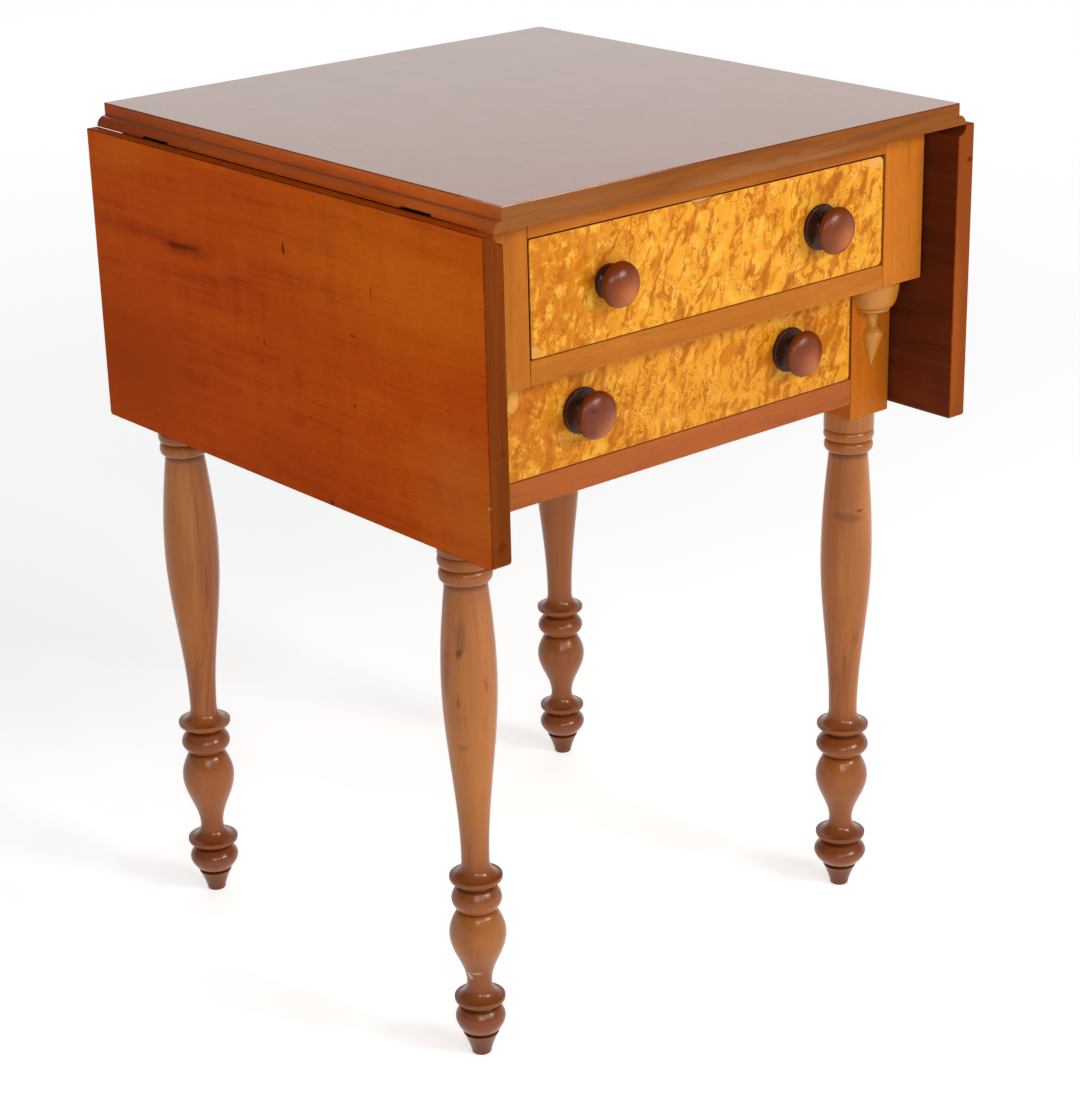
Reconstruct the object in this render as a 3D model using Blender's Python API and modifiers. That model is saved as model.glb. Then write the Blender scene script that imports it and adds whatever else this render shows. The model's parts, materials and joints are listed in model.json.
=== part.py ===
"""Drop-leaf side table: two drawers on four turned legs, with a leaf hinged to each side of the top.

Metres, +Z up. The front faces -Y, and the origin is on the floor under the middle of the top.
Each piece is its own object, with both leaves hanging and both drawers shut.
"""

import itertools
import math

import bmesh
import bpy

# Fits
GLUE_LINE = 0.0003  # between pieces that are glued, screwed or seated
PIN_PLAY = 0.0003  # round a pin in its hole
CUT_PAST = 0.0100  # how far a cutter runs past the face it opens
SAME_POINT = 0.000001
FLAT_ANGLE = math.radians(0.5)  # faces that meet at less than this are one flat face
SHARP_ANGLE = math.radians(40)  # edges sharper than this are left unsmoothed

# Top and leaves
TOP_WIDTH = 0.4808  # between the square steps of the two rule joints
TOP_DEPTH = 0.5166
BOARD_THICKNESS = 0.0185
RULE_STEP = 0.0100  # square step above the quarter-round
RULE_GAP = 0.0006
LEAF_WIDTH = 0.2500  # hinge pin to outer edge
BOARD_ARRIS = 0.0016

# Heights, from the floor up
LEG_TURNED_HEIGHT = 0.4570
BLOCK_TAIL = 0.0147  # leg block below the lower rail
LOWER_RAIL_HEIGHT = 0.0223
LOWER_FRONT_HEIGHT = 0.0840
MIDDLE_RAIL_HEIGHT = 0.0195
UPPER_FRONT_HEIGHT = 0.0900
TOP_RAIL_HEIGHT = 0.0197
FRONT_GAP = 0.0010  # above and below a drawer front

# Case in plan
BLOCK_SIDE = 0.0460
SIDE_INSET = 0.0039  # leg blocks in from the hanging leaves
FRONT_INSET = 0.0658  # leg blocks back from the top's front edge
BACK_INSET = 0.0188  # leg blocks in from the top's back edge
OVERHANG = 0.0330  # upper drawer front ahead of the lower one
CASE_ARRIS = 0.0010
PANEL_THICKNESS = 0.0140
PANEL_INSET = 0.0180  # side panels in from the leg blocks
BACK_PANEL_INSET = 0.0060

# Turned legs
LEG_SIDES = 16
COLLAR_HEIGHT = 0.0155
COLLAR_RADIUS = 0.0217
RING_HEIGHTS = (0.0115, 0.0120)
RING_RADII = (0.0220, 0.0210)
RING_SEAT_RADIUS = 0.0194
SHAFT_NECK_RADIUS = 0.0168
SHAFT_BELLY_RADIUS = 0.0223
SHAFT_BELLY_DROP = 0.0880  # belly below the rings
ANKLE_RADIUS = 0.0113
ANKLE_RISE = 0.0100  # narrowest part of the shaft above its saucer
SAUCER_RADIUS = 0.0219
SAUCER_CROWN = 0.0055
SAUCER_LIP = 0.0030
SAUCER_TUCK = 0.0008
SAUCER_SEAT_RADIUS = 0.0173
UPPER_SAUCER_HEIGHT = 0.0170
LOWER_SAUCER_HEIGHT = 0.0145
BEAD_RADIUS = 0.0214
BEAD_SEAT_RADIUS = 0.0172
UPPER_BEAD_HEIGHT = 0.0172
LOWER_BEAD_HEIGHT = 0.0228
VASE_HEIGHT = 0.0777
VASE_BELLY_RADIUS = 0.0232
VASE_BELLY_DROP = 0.0213
WAIST_RADIUS = 0.0099
WAIST_RISE = 0.0100  # narrowest part of the vase above its saucer
PEG_HEIGHT = 0.0178
PEG_RADIUS = 0.0150
PEG_TIP_RADIUS = 0.0078

# Half-round pendants under the upper stiles
PENDANT_SIDES = 16
PENDANT_BOWL_RADIUS = 0.0230
PENDANT_BOWL_HEIGHT = 0.0290
PENDANT_RIM_RADIUS = 0.0152
PENDANT_FOOT_RADIUS = 0.0070
PENDANT_NECK_RADIUS = 0.0042
PENDANT_NECK_HEIGHT = 0.0145
PENDANT_DROP_RADIUS = 0.0096
PENDANT_SHOULDER = 0.0070
PENDANT_DROP_HEIGHT = 0.0345

# Drawers
FRONT_SIDE_GAP = 0.0015
VENEER_THICKNESS = 0.0015
FRONT_THICKNESS = 0.0190
DRAWER_SIDE_THICKNESS = 0.0100
DRAWER_SIDE_DROP = 0.0060  # sides below the top of the front
DRAWER_BACK_THICKNESS = 0.0100
DRAWER_BOTTOM_THICKNESS = 0.0060
GROOVE_DEPTH = 0.0050
GROOVE_RISE = 0.0080
RUNNER_HEIGHT = 0.0145
RUNNER_WIDTH = 0.0300
GUIDE_HEIGHT = 0.0150
GUIDE_GAP = 0.0010  # drawer side to guide

# Knobs
KNOB_SIDES = 18
KNOB_INSET = 0.0755  # middle of a knob in from the end of its drawer front
KNOB_HEAD_RADIUS = 0.0192
KNOB_REACH = 0.0270  # drawer face to the front of the dome
KNOB_DOME = 0.0065
KNOB_RIM = 0.0016
KNOB_NECK_RADIUS = 0.0080
KNOB_NECK_REACH = 0.0105
KNOB_ROSE_RADIUS = 0.0187
KNOB_ROSE_THICKNESS = 0.0038
KNOB_CONE_RADIUS = 0.0150
KNOB_TENON_RADIUS = 0.0060

# Rule-joint hinges
HINGE_INSET = 0.0883  # middle of a hinge in from the end of its leaf
HINGE_LENGTH = 0.0360
HINGE_BARREL_RADIUS = 0.0026
HINGE_PIN_RADIUS = 0.0012
HINGE_PLATE_THICKNESS = 0.0014
HINGE_PLATE_REACH = 0.0270
HINGE_FLAP_REACH = 0.0360
HINGE_SIDES = 16

# Fly brackets that hold a raised leaf
FLY_THICKNESS = 0.0160
FLY_HEIGHT = 0.0550
FLY_TIP_GAP = 0.0060  # end of the arm to the back hinge
FLY_TIP_HEIGHT = 0.0200
FLY_ROOT_LENGTH = 0.0300
FLY_KNUCKLE_NOTCH = 0.0120
FLY_PIN_RADIUS = 0.0020
FLY_SIDES = 16

# Levels and planes that follow from the sizes above
CASE_BOTTOM = LEG_TURNED_HEIGHT + BLOCK_TAIL
LOWER_RAIL_TOP = CASE_BOTTOM + LOWER_RAIL_HEIGHT
MIDDLE_RAIL_BOTTOM = LOWER_RAIL_TOP + LOWER_FRONT_HEIGHT + 2 * FRONT_GAP
MIDDLE_RAIL_TOP = MIDDLE_RAIL_BOTTOM + MIDDLE_RAIL_HEIGHT
TOP_RAIL_BOTTOM = MIDDLE_RAIL_TOP + UPPER_FRONT_HEIGHT + 2 * FRONT_GAP
CASE_TOP = TOP_RAIL_BOTTOM + TOP_RAIL_HEIGHT
PIN_LEVEL = CASE_TOP + GLUE_LINE  # underside of the top
PIN_X = TOP_WIDTH / 2
RULE_RADIUS = BOARD_THICKNESS - RULE_STEP
LEG_X = PIN_X - SIDE_INSET - BLOCK_SIDE / 2
FRONT_LEG_Y = FRONT_INSET + BLOCK_SIDE / 2 - TOP_DEPTH / 2
BACK_LEG_Y = TOP_DEPTH / 2 - BACK_INSET - BLOCK_SIDE / 2
BAY_X = LEG_X - BLOCK_SIDE / 2  # half the opening between the leg blocks
LOWER_FACE_Y = FRONT_LEG_Y - BLOCK_SIDE / 2
UPPER_FACE_Y = LOWER_FACE_Y - OVERHANG
SIDE_START_Y = FRONT_LEG_Y + BLOCK_SIDE / 2 + GLUE_LINE
RAIL_BACK_Y = SIDE_START_Y - GLUE_LINE
SIDE_END_Y = BACK_LEG_Y - BLOCK_SIDE / 2 - GLUE_LINE
PANEL_OUTER_X = LEG_X + BLOCK_SIDE / 2 - PANEL_INSET
PANEL_INNER_X = PANEL_OUTER_X - PANEL_THICKNESS
BACK_PANEL_Y = BACK_LEG_Y + BLOCK_SIDE / 2 - BACK_PANEL_INSET
SIDES = {"left": -1, "right": 1}
FACING_FRONT = (math.radians(90), 0.0, 0.0)  # turns an upright axis to point at -Y
FACING_SIDE = (math.radians(90), 0.0, math.radians(90))  # turns an upright axis to point at +X

# Finishes: linear colour, roughness, metallic
FINISHES = {
    "polished_top": ((0.30, 0.11, 0.04), 0.16, 0.0),
    "cherry_leaf": ((0.32, 0.09, 0.025), 0.28, 0.0),
    "cherry_case": ((0.46, 0.17, 0.045), 0.32, 0.0),
    "turned_leg": ((0.36, 0.14, 0.04), 0.30, 0.0),
    "birdseye_veneer": ((0.80, 0.38, 0.07), 0.26, 0.0),
    "knob_wood": ((0.17, 0.04, 0.018), 0.14, 0.0),
    "pendant_wood": ((0.54, 0.27, 0.07), 0.28, 0.0),
    "inside_wood": ((0.42, 0.27, 0.13), 0.60, 0.0),
    "hinge_iron": ((0.10, 0.085, 0.07), 0.50, 1.0),
}


def clear_scene():
    for old in list(bpy.data.objects):
        bpy.data.objects.remove(old)


def new_collection(name):
    made = bpy.data.collections.new(name)
    bpy.context.scene.collection.children.link(made)
    return made


def make_finishes():
    for name, (colour, roughness, metallic) in FINISHES.items():
        finish = bpy.data.materials.new(name)
        finish.use_nodes = True
        shader = finish.node_tree.nodes["Principled BSDF"]
        shader.inputs["Base Color"].default_value = (*colour, 1.0)
        shader.inputs["Roughness"].default_value = roughness
        shader.inputs["Metallic"].default_value = metallic
        finish.diffuse_color = (*colour, 1.0)


def add_piece(name, mesh, finish, location=(0, 0, 0), rotation=(0, 0, 0)):
    """Puts a mesh in the table's collection under its own name, with its finish."""
    piece = bpy.data.objects.new(name, mesh)
    if not mesh.materials:
        mesh.materials.append(bpy.data.materials[finish])
    TABLE.objects.link(piece)
    piece.location = location
    piece.rotation_euler = rotation
    return piece


def add_tool(name, mesh, location=(0, 0, 0), rotation=(0, 0, 0)):
    """A cutter, or a shape to be joined to a piece: kept apart and never rendered."""
    tool = bpy.data.objects.new(name, mesh)
    TOOLS.objects.link(tool)
    tool.location = location
    tool.rotation_euler = rotation
    tool.hide_render = True
    tool.display_type = "WIRE"
    return tool


def box_mesh(name, x_ends, y_ends, z_ends):
    """A box round its own centre, and that centre."""
    mesh = bpy.data.meshes.new(name)
    shape = bmesh.new()
    bmesh.ops.create_cube(shape, size=1.0)
    sizes = [max(ends) - min(ends) for ends in (x_ends, y_ends, z_ends)]
    bmesh.ops.scale(shape, vec=sizes, verts=shape.verts)
    shape.to_mesh(mesh)
    shape.free()
    return mesh, [sum(ends) / 2 for ends in (x_ends, y_ends, z_ends)]


def cylinder_mesh(name, radius, length, sides):
    """A cylinder along Z, centred."""
    mesh = bpy.data.meshes.new(name)
    shape = bmesh.new()
    bmesh.ops.create_cone(
        shape, cap_ends=True, segments=sides, radius1=radius, radius2=radius, depth=length
    )
    shape.to_mesh(mesh)
    shape.free()
    mesh.shade_smooth()
    mesh.set_sharp_from_angle(angle=SHARP_ANGLE)
    return mesh


def round_edges(piece, width):
    bevel = piece.modifiers.new("arris", "BEVEL")
    bevel.width = width
    bevel.segments = 2
    bevel.limit_method = "ANGLE"
    bevel.angle_limit = SHARP_ANGLE


def board(name, x_ends, y_ends, z_ends, finish, arris=None):
    """A sawn board between two planes each way, with its edges eased if arris is given."""
    mesh, centre = box_mesh(name, x_ends, y_ends, z_ends)
    piece = add_piece(name, mesh, finish, centre)
    if arris:
        round_edges(piece, arris)
    return piece


def box_tool(name, x_ends, y_ends, z_ends):
    mesh, centre = box_mesh(name, x_ends, y_ends, z_ends)
    return add_tool(name, mesh, centre)


def rod_tool(name, radius, length, sides, location, rotation=(0, 0, 0)):
    return add_tool(name, cylinder_mesh(name, radius, length, sides), location, rotation)


def combine(piece, tool, operation="DIFFERENCE"):
    boolean = piece.modifiers.new(tool.name, "BOOLEAN")
    boolean.operation = operation
    boolean.object = tool
    boolean.solver = "EXACT"


def settle(piece):
    """Applies a piece's modifiers, so that its mesh can be shared."""
    bpy.context.view_layer.update()
    graph = bpy.context.evaluated_depsgraph_get()
    piece.data = bpy.data.meshes.new_from_object(piece.evaluated_get(graph))
    piece.modifiers.clear()
    return piece.data


def turned_mesh(name, profile, sides):
    """A solid of revolution about Z. The profile is (radius, height) down its outer side."""
    outline = bpy.data.meshes.new(name + "_outline")
    points = [(radius, 0.0, height) for radius, height in profile]
    outline.from_pydata(points, [(i, i + 1) for i in range(len(points) - 1)], [])
    lathe = add_tool(name + "_lathe", outline)
    screw = lathe.modifiers.new("lathe", "SCREW")
    screw.steps = sides
    screw.render_steps = sides
    screw.use_merge_vertices = True
    screw.merge_threshold = SAME_POINT
    mesh = settle(lathe)
    bpy.data.objects.remove(lathe)
    mesh.name = name
    mesh.shade_smooth()
    mesh.set_sharp_from_angle(angle=SHARP_ANGLE)
    return mesh


def extruded_mesh(name, outline, thickness):
    """A flat outline in its own XY plane, thickened evenly along Z."""
    curve = bpy.data.curves.new(name + "_outline", "CURVE")
    curve.dimensions = "2D"
    curve.fill_mode = "BOTH"
    curve.extrude = thickness / 2
    spline = curve.splines.new("POLY")
    spline.points.add(len(outline) - 1)
    spline.use_cyclic_u = True
    for point, (x, y) in zip(spline.points, outline):
        point.co = (x, y, 0.0, 1.0)
    guide = add_tool(name + "_guide", curve)
    bpy.context.view_layer.update()
    graph = bpy.context.evaluated_depsgraph_get()
    mesh = bpy.data.meshes.new_from_object(guide.evaluated_get(graph))
    bpy.data.objects.remove(guide)
    mesh.name = name
    mesh.materials.clear()
    shape = bmesh.new()
    shape.from_mesh(mesh)
    bmesh.ops.remove_doubles(shape, verts=shape.verts, dist=SAME_POINT)
    bmesh.ops.recalc_face_normals(shape, faces=shape.faces)
    bmesh.ops.dissolve_limit(shape, angle_limit=FLAT_ANGLE, verts=shape.verts, edges=shape.edges)
    shape.to_mesh(mesh)
    shape.free()
    return mesh


def axis_empty(name, location):
    """An empty on a joint's axis, for the pieces that move together."""
    empty = bpy.data.objects.new(name, None)
    empty.empty_display_size = 0.05
    TABLE.objects.link(empty)
    empty.location = location
    return empty


def carry(empty, pieces):
    bpy.context.view_layer.update()
    for piece in pieces:
        piece.parent = empty
        piece.matrix_parent_inverse = empty.matrix_world.inverted()


# Curves that a turner's profile is made of, each down the outer side

def joined(*runs):
    """Runs of a profile end to end, without the points that two runs share."""
    points = []
    for point in itertools.chain(*runs):
        if not points or math.dist(point, points[-1]) > SAME_POINT:
            points.append(point)
    return points


def bead(seat_top, seat_bottom, radius, top, bottom, steps=4):
    """A half-round swelling between two heights."""
    points = []
    for step in range(steps + 1):
        angle = math.pi * step / steps
        seat = seat_top + (seat_bottom - seat_top) * step / steps
        height = (top + bottom) / 2 + (top - bottom) / 2 * math.cos(angle)
        points.append((seat + (radius - seat) * math.sin(angle), height))
    return points


def swell(start, end, steps):
    """Leaves start at a slope and arrives upright at end."""
    (r0, z0), (r1, z1) = start, end
    shares = [step / steps for step in range(1, steps + 1)]
    return [(r0 + (r1 - r0) * math.sin(math.pi / 2 * t), z0 + (z1 - z0) * t) for t in shares]


def ease(start, end, steps):
    """Leaves start and arrives at end upright."""
    (r0, z0), (r1, z1) = start, end
    shares = [step / steps for step in range(1, steps + 1)]
    return [(r0 + (r1 - r0) * (1 - math.cos(math.pi * t)) / 2, z0 + (z1 - z0) * t) for t in shares]


def flare(start, end, steps):
    """Leaves start upright and arrives level at end, as a cove does."""
    (r0, z0), (r1, z1) = start, end
    angles = [math.pi / 2 * step / steps for step in range(1, steps + 1)]
    return [(r0 + (r1 - r0) * (1 - math.cos(a)), z0 + (z1 - z0) * math.sin(a)) for a in angles]


def dome(radius, rim, rise, steps):
    """From the axis down to a rim."""
    angles = [math.pi / 2 * step / steps for step in range(steps + 1)]
    return [(radius * math.sin(a), rim + rise * math.cos(a)) for a in angles]


# Legs

def saucer(top, neck_radius, height):
    """A disc round the foot of a neck, rounded on top and tucked in below its lip."""
    rim = top - SAUCER_CROWN
    crown = dome(SAUCER_RADIUS - neck_radius, rim, SAUCER_CROWN, 4)
    lip = (SAUCER_RADIUS - SAUCER_TUCK, rim - SAUCER_LIP)
    return [(neck_radius + radius, z) for radius, z in crown] + [lip, (SAUCER_SEAT_RADIUS, top - height)]


def leg_profile():
    """Radius and height from inside the block down to the foot."""
    ring_top = LEG_TURNED_HEIGHT - COLLAR_HEIGHT
    ring_middle = ring_top - RING_HEIGHTS[0]
    ring_bottom = ring_middle - RING_HEIGHTS[1]
    lower_bead_top = PEG_HEIGHT + LOWER_BEAD_HEIGHT
    lower_saucer_top = lower_bead_top + LOWER_SAUCER_HEIGHT
    vase_top = lower_saucer_top + VASE_HEIGHT
    upper_bead_top = vase_top + UPPER_BEAD_HEIGHT
    upper_saucer_top = upper_bead_top + UPPER_SAUCER_HEIGHT

    inside_block = LEG_TURNED_HEIGHT + BLOCK_TAIL
    neck = (SHAFT_NECK_RADIUS, ring_bottom)
    belly = (SHAFT_BELLY_RADIUS, ring_bottom - SHAFT_BELLY_DROP)
    ankle = (ANKLE_RADIUS, upper_saucer_top + ANKLE_RISE)
    vase_seat = (BEAD_SEAT_RADIUS, vase_top)
    vase_belly = (VASE_BELLY_RADIUS, vase_top - VASE_BELLY_DROP)
    waist = (WAIST_RADIUS, lower_saucer_top + WAIST_RISE)
    return joined(
        [(0.0, inside_block), (COLLAR_RADIUS, inside_block), (COLLAR_RADIUS, ring_top)],
        bead(RING_SEAT_RADIUS, RING_SEAT_RADIUS, RING_RADII[0], ring_top, ring_middle),
        bead(RING_SEAT_RADIUS, RING_SEAT_RADIUS, RING_RADII[1], ring_middle, ring_bottom),
        [neck],
        swell(neck, belly, 4),
        ease(belly, ankle, 7),
        saucer(upper_saucer_top, ANKLE_RADIUS, UPPER_SAUCER_HEIGHT),
        bead(SAUCER_SEAT_RADIUS, BEAD_SEAT_RADIUS, BEAD_RADIUS, upper_bead_top, vase_top),
        swell(vase_seat, vase_belly, 3),
        ease(vase_belly, waist, 6),
        saucer(lower_saucer_top, WAIST_RADIUS, LOWER_SAUCER_HEIGHT),
        bead(SAUCER_SEAT_RADIUS, PEG_RADIUS, BEAD_RADIUS, lower_bead_top, PEG_HEIGHT),
        [(PEG_TIP_RADIUS, 0.0), (0.0, 0.0)],
    )


def make_legs():
    """Four legs of one shape: a square block for the case, turned below it."""
    half = BLOCK_SIDE / 2
    block, centre = box_mesh("leg_block", (-half, half), (-half, half), (LEG_TURNED_HEIGHT, CASE_TOP))
    pattern = add_piece("leg_front_left", block, "turned_leg", centre)
    round_edges(pattern, CASE_ARRIS)
    turning = add_tool("leg_turning", turned_mesh("leg_turning", leg_profile(), LEG_SIDES))
    combine(pattern, turning, "UNION")
    shared = settle(pattern)
    for depth, y in (("front", FRONT_LEG_Y), ("back", BACK_LEG_Y)):
        for side, sign in SIDES.items():
            place = (sign * LEG_X, y, centre[2])
            if (depth, side) == ("front", "left"):
                pattern.location = place
            else:
                add_piece(f"leg_{depth}_{side}", shared, "turned_leg", place)


# Case

def make_case_front():
    """Stiles and rails of the overhanging upper front, and the lower rail between the legs."""
    inside = BAY_X - GLUE_LINE
    for side, sign in SIDES.items():
        board(
            f"stile_{side}",
            (sign * BAY_X, sign * (BAY_X + BLOCK_SIDE)),
            (UPPER_FACE_Y, LOWER_FACE_Y - GLUE_LINE),
            (MIDDLE_RAIL_BOTTOM, CASE_TOP),
            "cherry_case",
            CASE_ARRIS,
        )
    rails = (
        ("top_rail", UPPER_FACE_Y, TOP_RAIL_BOTTOM, CASE_TOP),
        ("middle_rail", UPPER_FACE_Y, MIDDLE_RAIL_BOTTOM, MIDDLE_RAIL_TOP),
        ("lower_rail", LOWER_FACE_Y, CASE_BOTTOM, LOWER_RAIL_TOP),
    )
    for name, face, bottom, top in rails:
        board(name, (-inside, inside), (face, RAIL_BACK_Y), (bottom, top), "cherry_case", CASE_ARRIS)


def pendant_profile():
    """A bowl, a neck and a pointed drop, from the stile down."""
    rim = -PENDANT_BOWL_HEIGHT
    neck = rim - PENDANT_NECK_HEIGHT
    bowl = dome(PENDANT_BOWL_RADIUS - PENDANT_RIM_RADIUS, 0.0, rim, 4)[::-1]
    widest = (PENDANT_DROP_RADIUS, neck - PENDANT_SHOULDER)
    tip = (0.0, neck - PENDANT_DROP_HEIGHT)
    return joined(
        [(0.0, 0.0)],
        [(PENDANT_RIM_RADIUS + radius, height) for radius, height in bowl],
        [(PENDANT_FOOT_RADIUS, rim), (PENDANT_NECK_RADIUS, (rim + neck) / 2), (PENDANT_NECK_RADIUS, neck)],
        swell((PENDANT_NECK_RADIUS, neck), widest, 3),
        [((widest[0] + tip[0]) / 2, (widest[1] + tip[1]) / 2), tip],
    )


def make_pendants():
    """Split turnings planted on the leg blocks under the stiles."""
    mesh = turned_mesh("pendant", pendant_profile(), PENDANT_SIDES)
    reach = PENDANT_BOWL_RADIUS + CUT_PAST
    drop = PENDANT_BOWL_HEIGHT + PENDANT_NECK_HEIGHT + PENDANT_DROP_HEIGHT + CUT_PAST
    pattern = add_piece("pendant_left", mesh, "pendant_wood")
    combine(pattern, box_tool("pendant_split", (-reach, reach), (0.0, reach), (-drop, CUT_PAST)))
    shared = settle(pattern)
    for side, sign in SIDES.items():
        place = (sign * LEG_X, LOWER_FACE_Y - GLUE_LINE, MIDDLE_RAIL_BOTTOM - GLUE_LINE)
        if side == "left":
            pattern.location = place
        else:
            add_piece(f"pendant_{side}", shared, "pendant_wood", place)


def make_panels():
    """Side panels between the legs, and the back."""
    heights = (CASE_BOTTOM, CASE_TOP)
    for side, sign in SIDES.items():
        across = (sign * PANEL_INNER_X, sign * PANEL_OUTER_X)
        board(f"side_panel_{side}", across, (SIDE_START_Y, SIDE_END_Y), heights, "cherry_case", CASE_ARRIS)
    inside = BAY_X - GLUE_LINE
    through = (BACK_PANEL_Y - PANEL_THICKNESS, BACK_PANEL_Y)
    board("back_panel", (-inside, inside), through, heights, "cherry_case", CASE_ARRIS)


def make_runners():
    """A runner with a guide beside it under each drawer side, and kickers over the upper drawer."""
    along = (SIDE_START_Y, SIDE_END_Y)
    wall = PANEL_INNER_X - GLUE_LINE
    guide = BAY_X - FRONT_SIDE_GAP + GUIDE_GAP
    for side, sign in SIDES.items():
        for level, top in (("lower", LOWER_RAIL_TOP), ("upper", MIDDLE_RAIL_TOP)):
            across = (sign * (guide - RUNNER_WIDTH), sign * wall)
            heights = (top - RUNNER_HEIGHT, top + GUIDE_HEIGHT)
            runner = board(f"{level}_runner_{side}", across, along, heights, "inside_wood")
            rebate = box_tool(
                f"{level}_runner_{side}_rebate",
                (sign * (guide - RUNNER_WIDTH - CUT_PAST), sign * guide),
                (SIDE_START_Y - CUT_PAST, SIDE_END_Y + CUT_PAST),
                (top, top + GUIDE_HEIGHT + CUT_PAST),
            )
            combine(runner, rebate)
        kicker = (sign * (guide - RUNNER_WIDTH), sign * wall)
        board(f"kicker_{side}", kicker, along, (TOP_RAIL_BOTTOM, CASE_TOP), "inside_wood")


# Drawers

def knob_profile(with_rose):
    """A domed head on a neck that grows from a round rose or from a plain cone, and a tenon behind."""
    rim_top = KNOB_REACH - KNOB_DOME
    rim_back = rim_top - KNOB_RIM
    neck = (KNOB_NECK_RADIUS, KNOB_NECK_REACH)
    profile = dome(KNOB_HEAD_RADIUS, rim_top, KNOB_DOME, 5)
    profile.append((KNOB_HEAD_RADIUS, rim_back))
    hollow = flare(neck, (KNOB_HEAD_RADIUS - KNOB_RIM, rim_back - KNOB_RIM), 4)
    profile += hollow[::-1] + [neck]
    if with_rose:
        edge = KNOB_ROSE_THICKNESS / 3
        profile += flare(neck, (KNOB_ROSE_RADIUS - edge, KNOB_ROSE_THICKNESS), 4)
        profile += [(KNOB_ROSE_RADIUS, KNOB_ROSE_THICKNESS - edge), (KNOB_ROSE_RADIUS, edge)]
        profile.append((KNOB_ROSE_RADIUS - edge, GLUE_LINE))
    else:
        profile += ease(neck, (KNOB_CONE_RADIUS, GLUE_LINE), 4)
    depth = VENEER_THICKNESS + GLUE_LINE + FRONT_THICKNESS
    return profile + [(KNOB_TENON_RADIUS, GLUE_LINE), (KNOB_TENON_RADIUS, -depth), (0.0, -depth)]


def make_drawer(name, face, rail_top, front_height, knob_meshes):
    """A drawer box with a veneered front, grooved for its bottom, standing on the rail at rail_top."""
    half = BAY_X - FRONT_SIDE_GAP
    inner = half - DRAWER_SIDE_THICKNESS
    front_low = rail_top + FRONT_GAP
    front_high = front_low + front_height
    seat = rail_top + GLUE_LINE
    side_high = front_high - DRAWER_SIDE_DROP
    core_y = face + VENEER_THICKNESS + GLUE_LINE
    core_back = core_y + FRONT_THICKNESS
    far_end = BACK_PANEL_Y - PANEL_THICKNESS - GLUE_LINE
    floor_low = seat + GROOVE_RISE
    floor_high = floor_low + DRAWER_BOTTOM_THICKNESS
    floor_x = inner + GROOVE_DEPTH - GLUE_LINE
    groove_z = (floor_low - GLUE_LINE, floor_high + GLUE_LINE)

    veneer = board(f"{name}_veneer", (-half, half), (face, face + VENEER_THICKNESS),
                   (front_low, front_high), "birdseye_veneer")
    core = board(f"{name}_front", (-half, half), (core_y, core_back),
                 (front_low, front_high), "inside_wood")
    combine(core, box_tool(
        f"{name}_front_groove", (-floor_x - GLUE_LINE, floor_x + GLUE_LINE),
        (core_back - GROOVE_DEPTH, core_back + CUT_PAST), groove_z))
    pieces = [veneer, core]
    for side, sign in SIDES.items():
        wall = board(f"{name}_side_{side}", (sign * inner, sign * half), (core_back + GLUE_LINE, far_end),
                     (seat, side_high), "inside_wood")
        combine(wall, box_tool(
            f"{name}_side_{side}_groove", (sign * (inner - CUT_PAST), sign * (inner + GROOVE_DEPTH)),
            (core_back - CUT_PAST, far_end + CUT_PAST), groove_z))
        pieces.append(wall)
    behind = inner - GLUE_LINE
    pieces.append(board(
        f"{name}_back", (-behind, behind), (far_end - DRAWER_BACK_THICKNESS, far_end),
        (floor_high + GLUE_LINE, side_high), "inside_wood"))
    pieces.append(board(
        f"{name}_bottom", (-floor_x, floor_x), (core_back - GROOVE_DEPTH + GLUE_LINE, far_end),
        (floor_low, floor_high), "inside_wood"))

    middle = (front_low + front_high) / 2
    for side, sign in SIDES.items():
        place = (sign * (half - KNOB_INSET), face, middle)
        hole = rod_tool(
            f"{name}_knob_hole_{side}", KNOB_TENON_RADIUS + PIN_PLAY, 2 * FRONT_THICKNESS + CUT_PAST,
            KNOB_SIDES, (place[0], core_y, middle), FACING_FRONT)
        combine(veneer, hole)
        combine(core, hole)
        knob = add_piece(f"{name}_knob_{side}", knob_meshes[side], "knob_wood", place, FACING_FRONT)
        pieces.append(knob)
    carry(axis_empty(f"{name}_slide", (0.0, face, seat)), pieces)


def make_drawers():
    """Three knobs share one pattern. The upper left one is a later, plainer turning."""
    rose = turned_mesh("knob_with_rose", knob_profile(True), KNOB_SIDES)
    plain = turned_mesh("knob_plain", knob_profile(False), KNOB_SIDES)
    make_drawer("upper_drawer", UPPER_FACE_Y, MIDDLE_RAIL_TOP, UPPER_FRONT_HEIGHT,
                {"left": plain, "right": rose})
    make_drawer("lower_drawer", LOWER_FACE_Y, LOWER_RAIL_TOP, LOWER_FRONT_HEIGHT,
                {"left": rose, "right": rose})


# Top, leaves and their hinges

def rule_arc(radius, start, end, steps=6):
    """Points about the hinge pin, from start to end degrees up from level."""
    angles = [math.radians(start + (end - start) * step / steps) for step in range(steps + 1)]
    return [(radius * math.cos(a), radius * math.sin(a)) for a in angles]


def hinge_places():
    return {"front": HINGE_INSET - TOP_DEPTH / 2, "back": TOP_DEPTH / 2 - HINGE_INSET}


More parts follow.
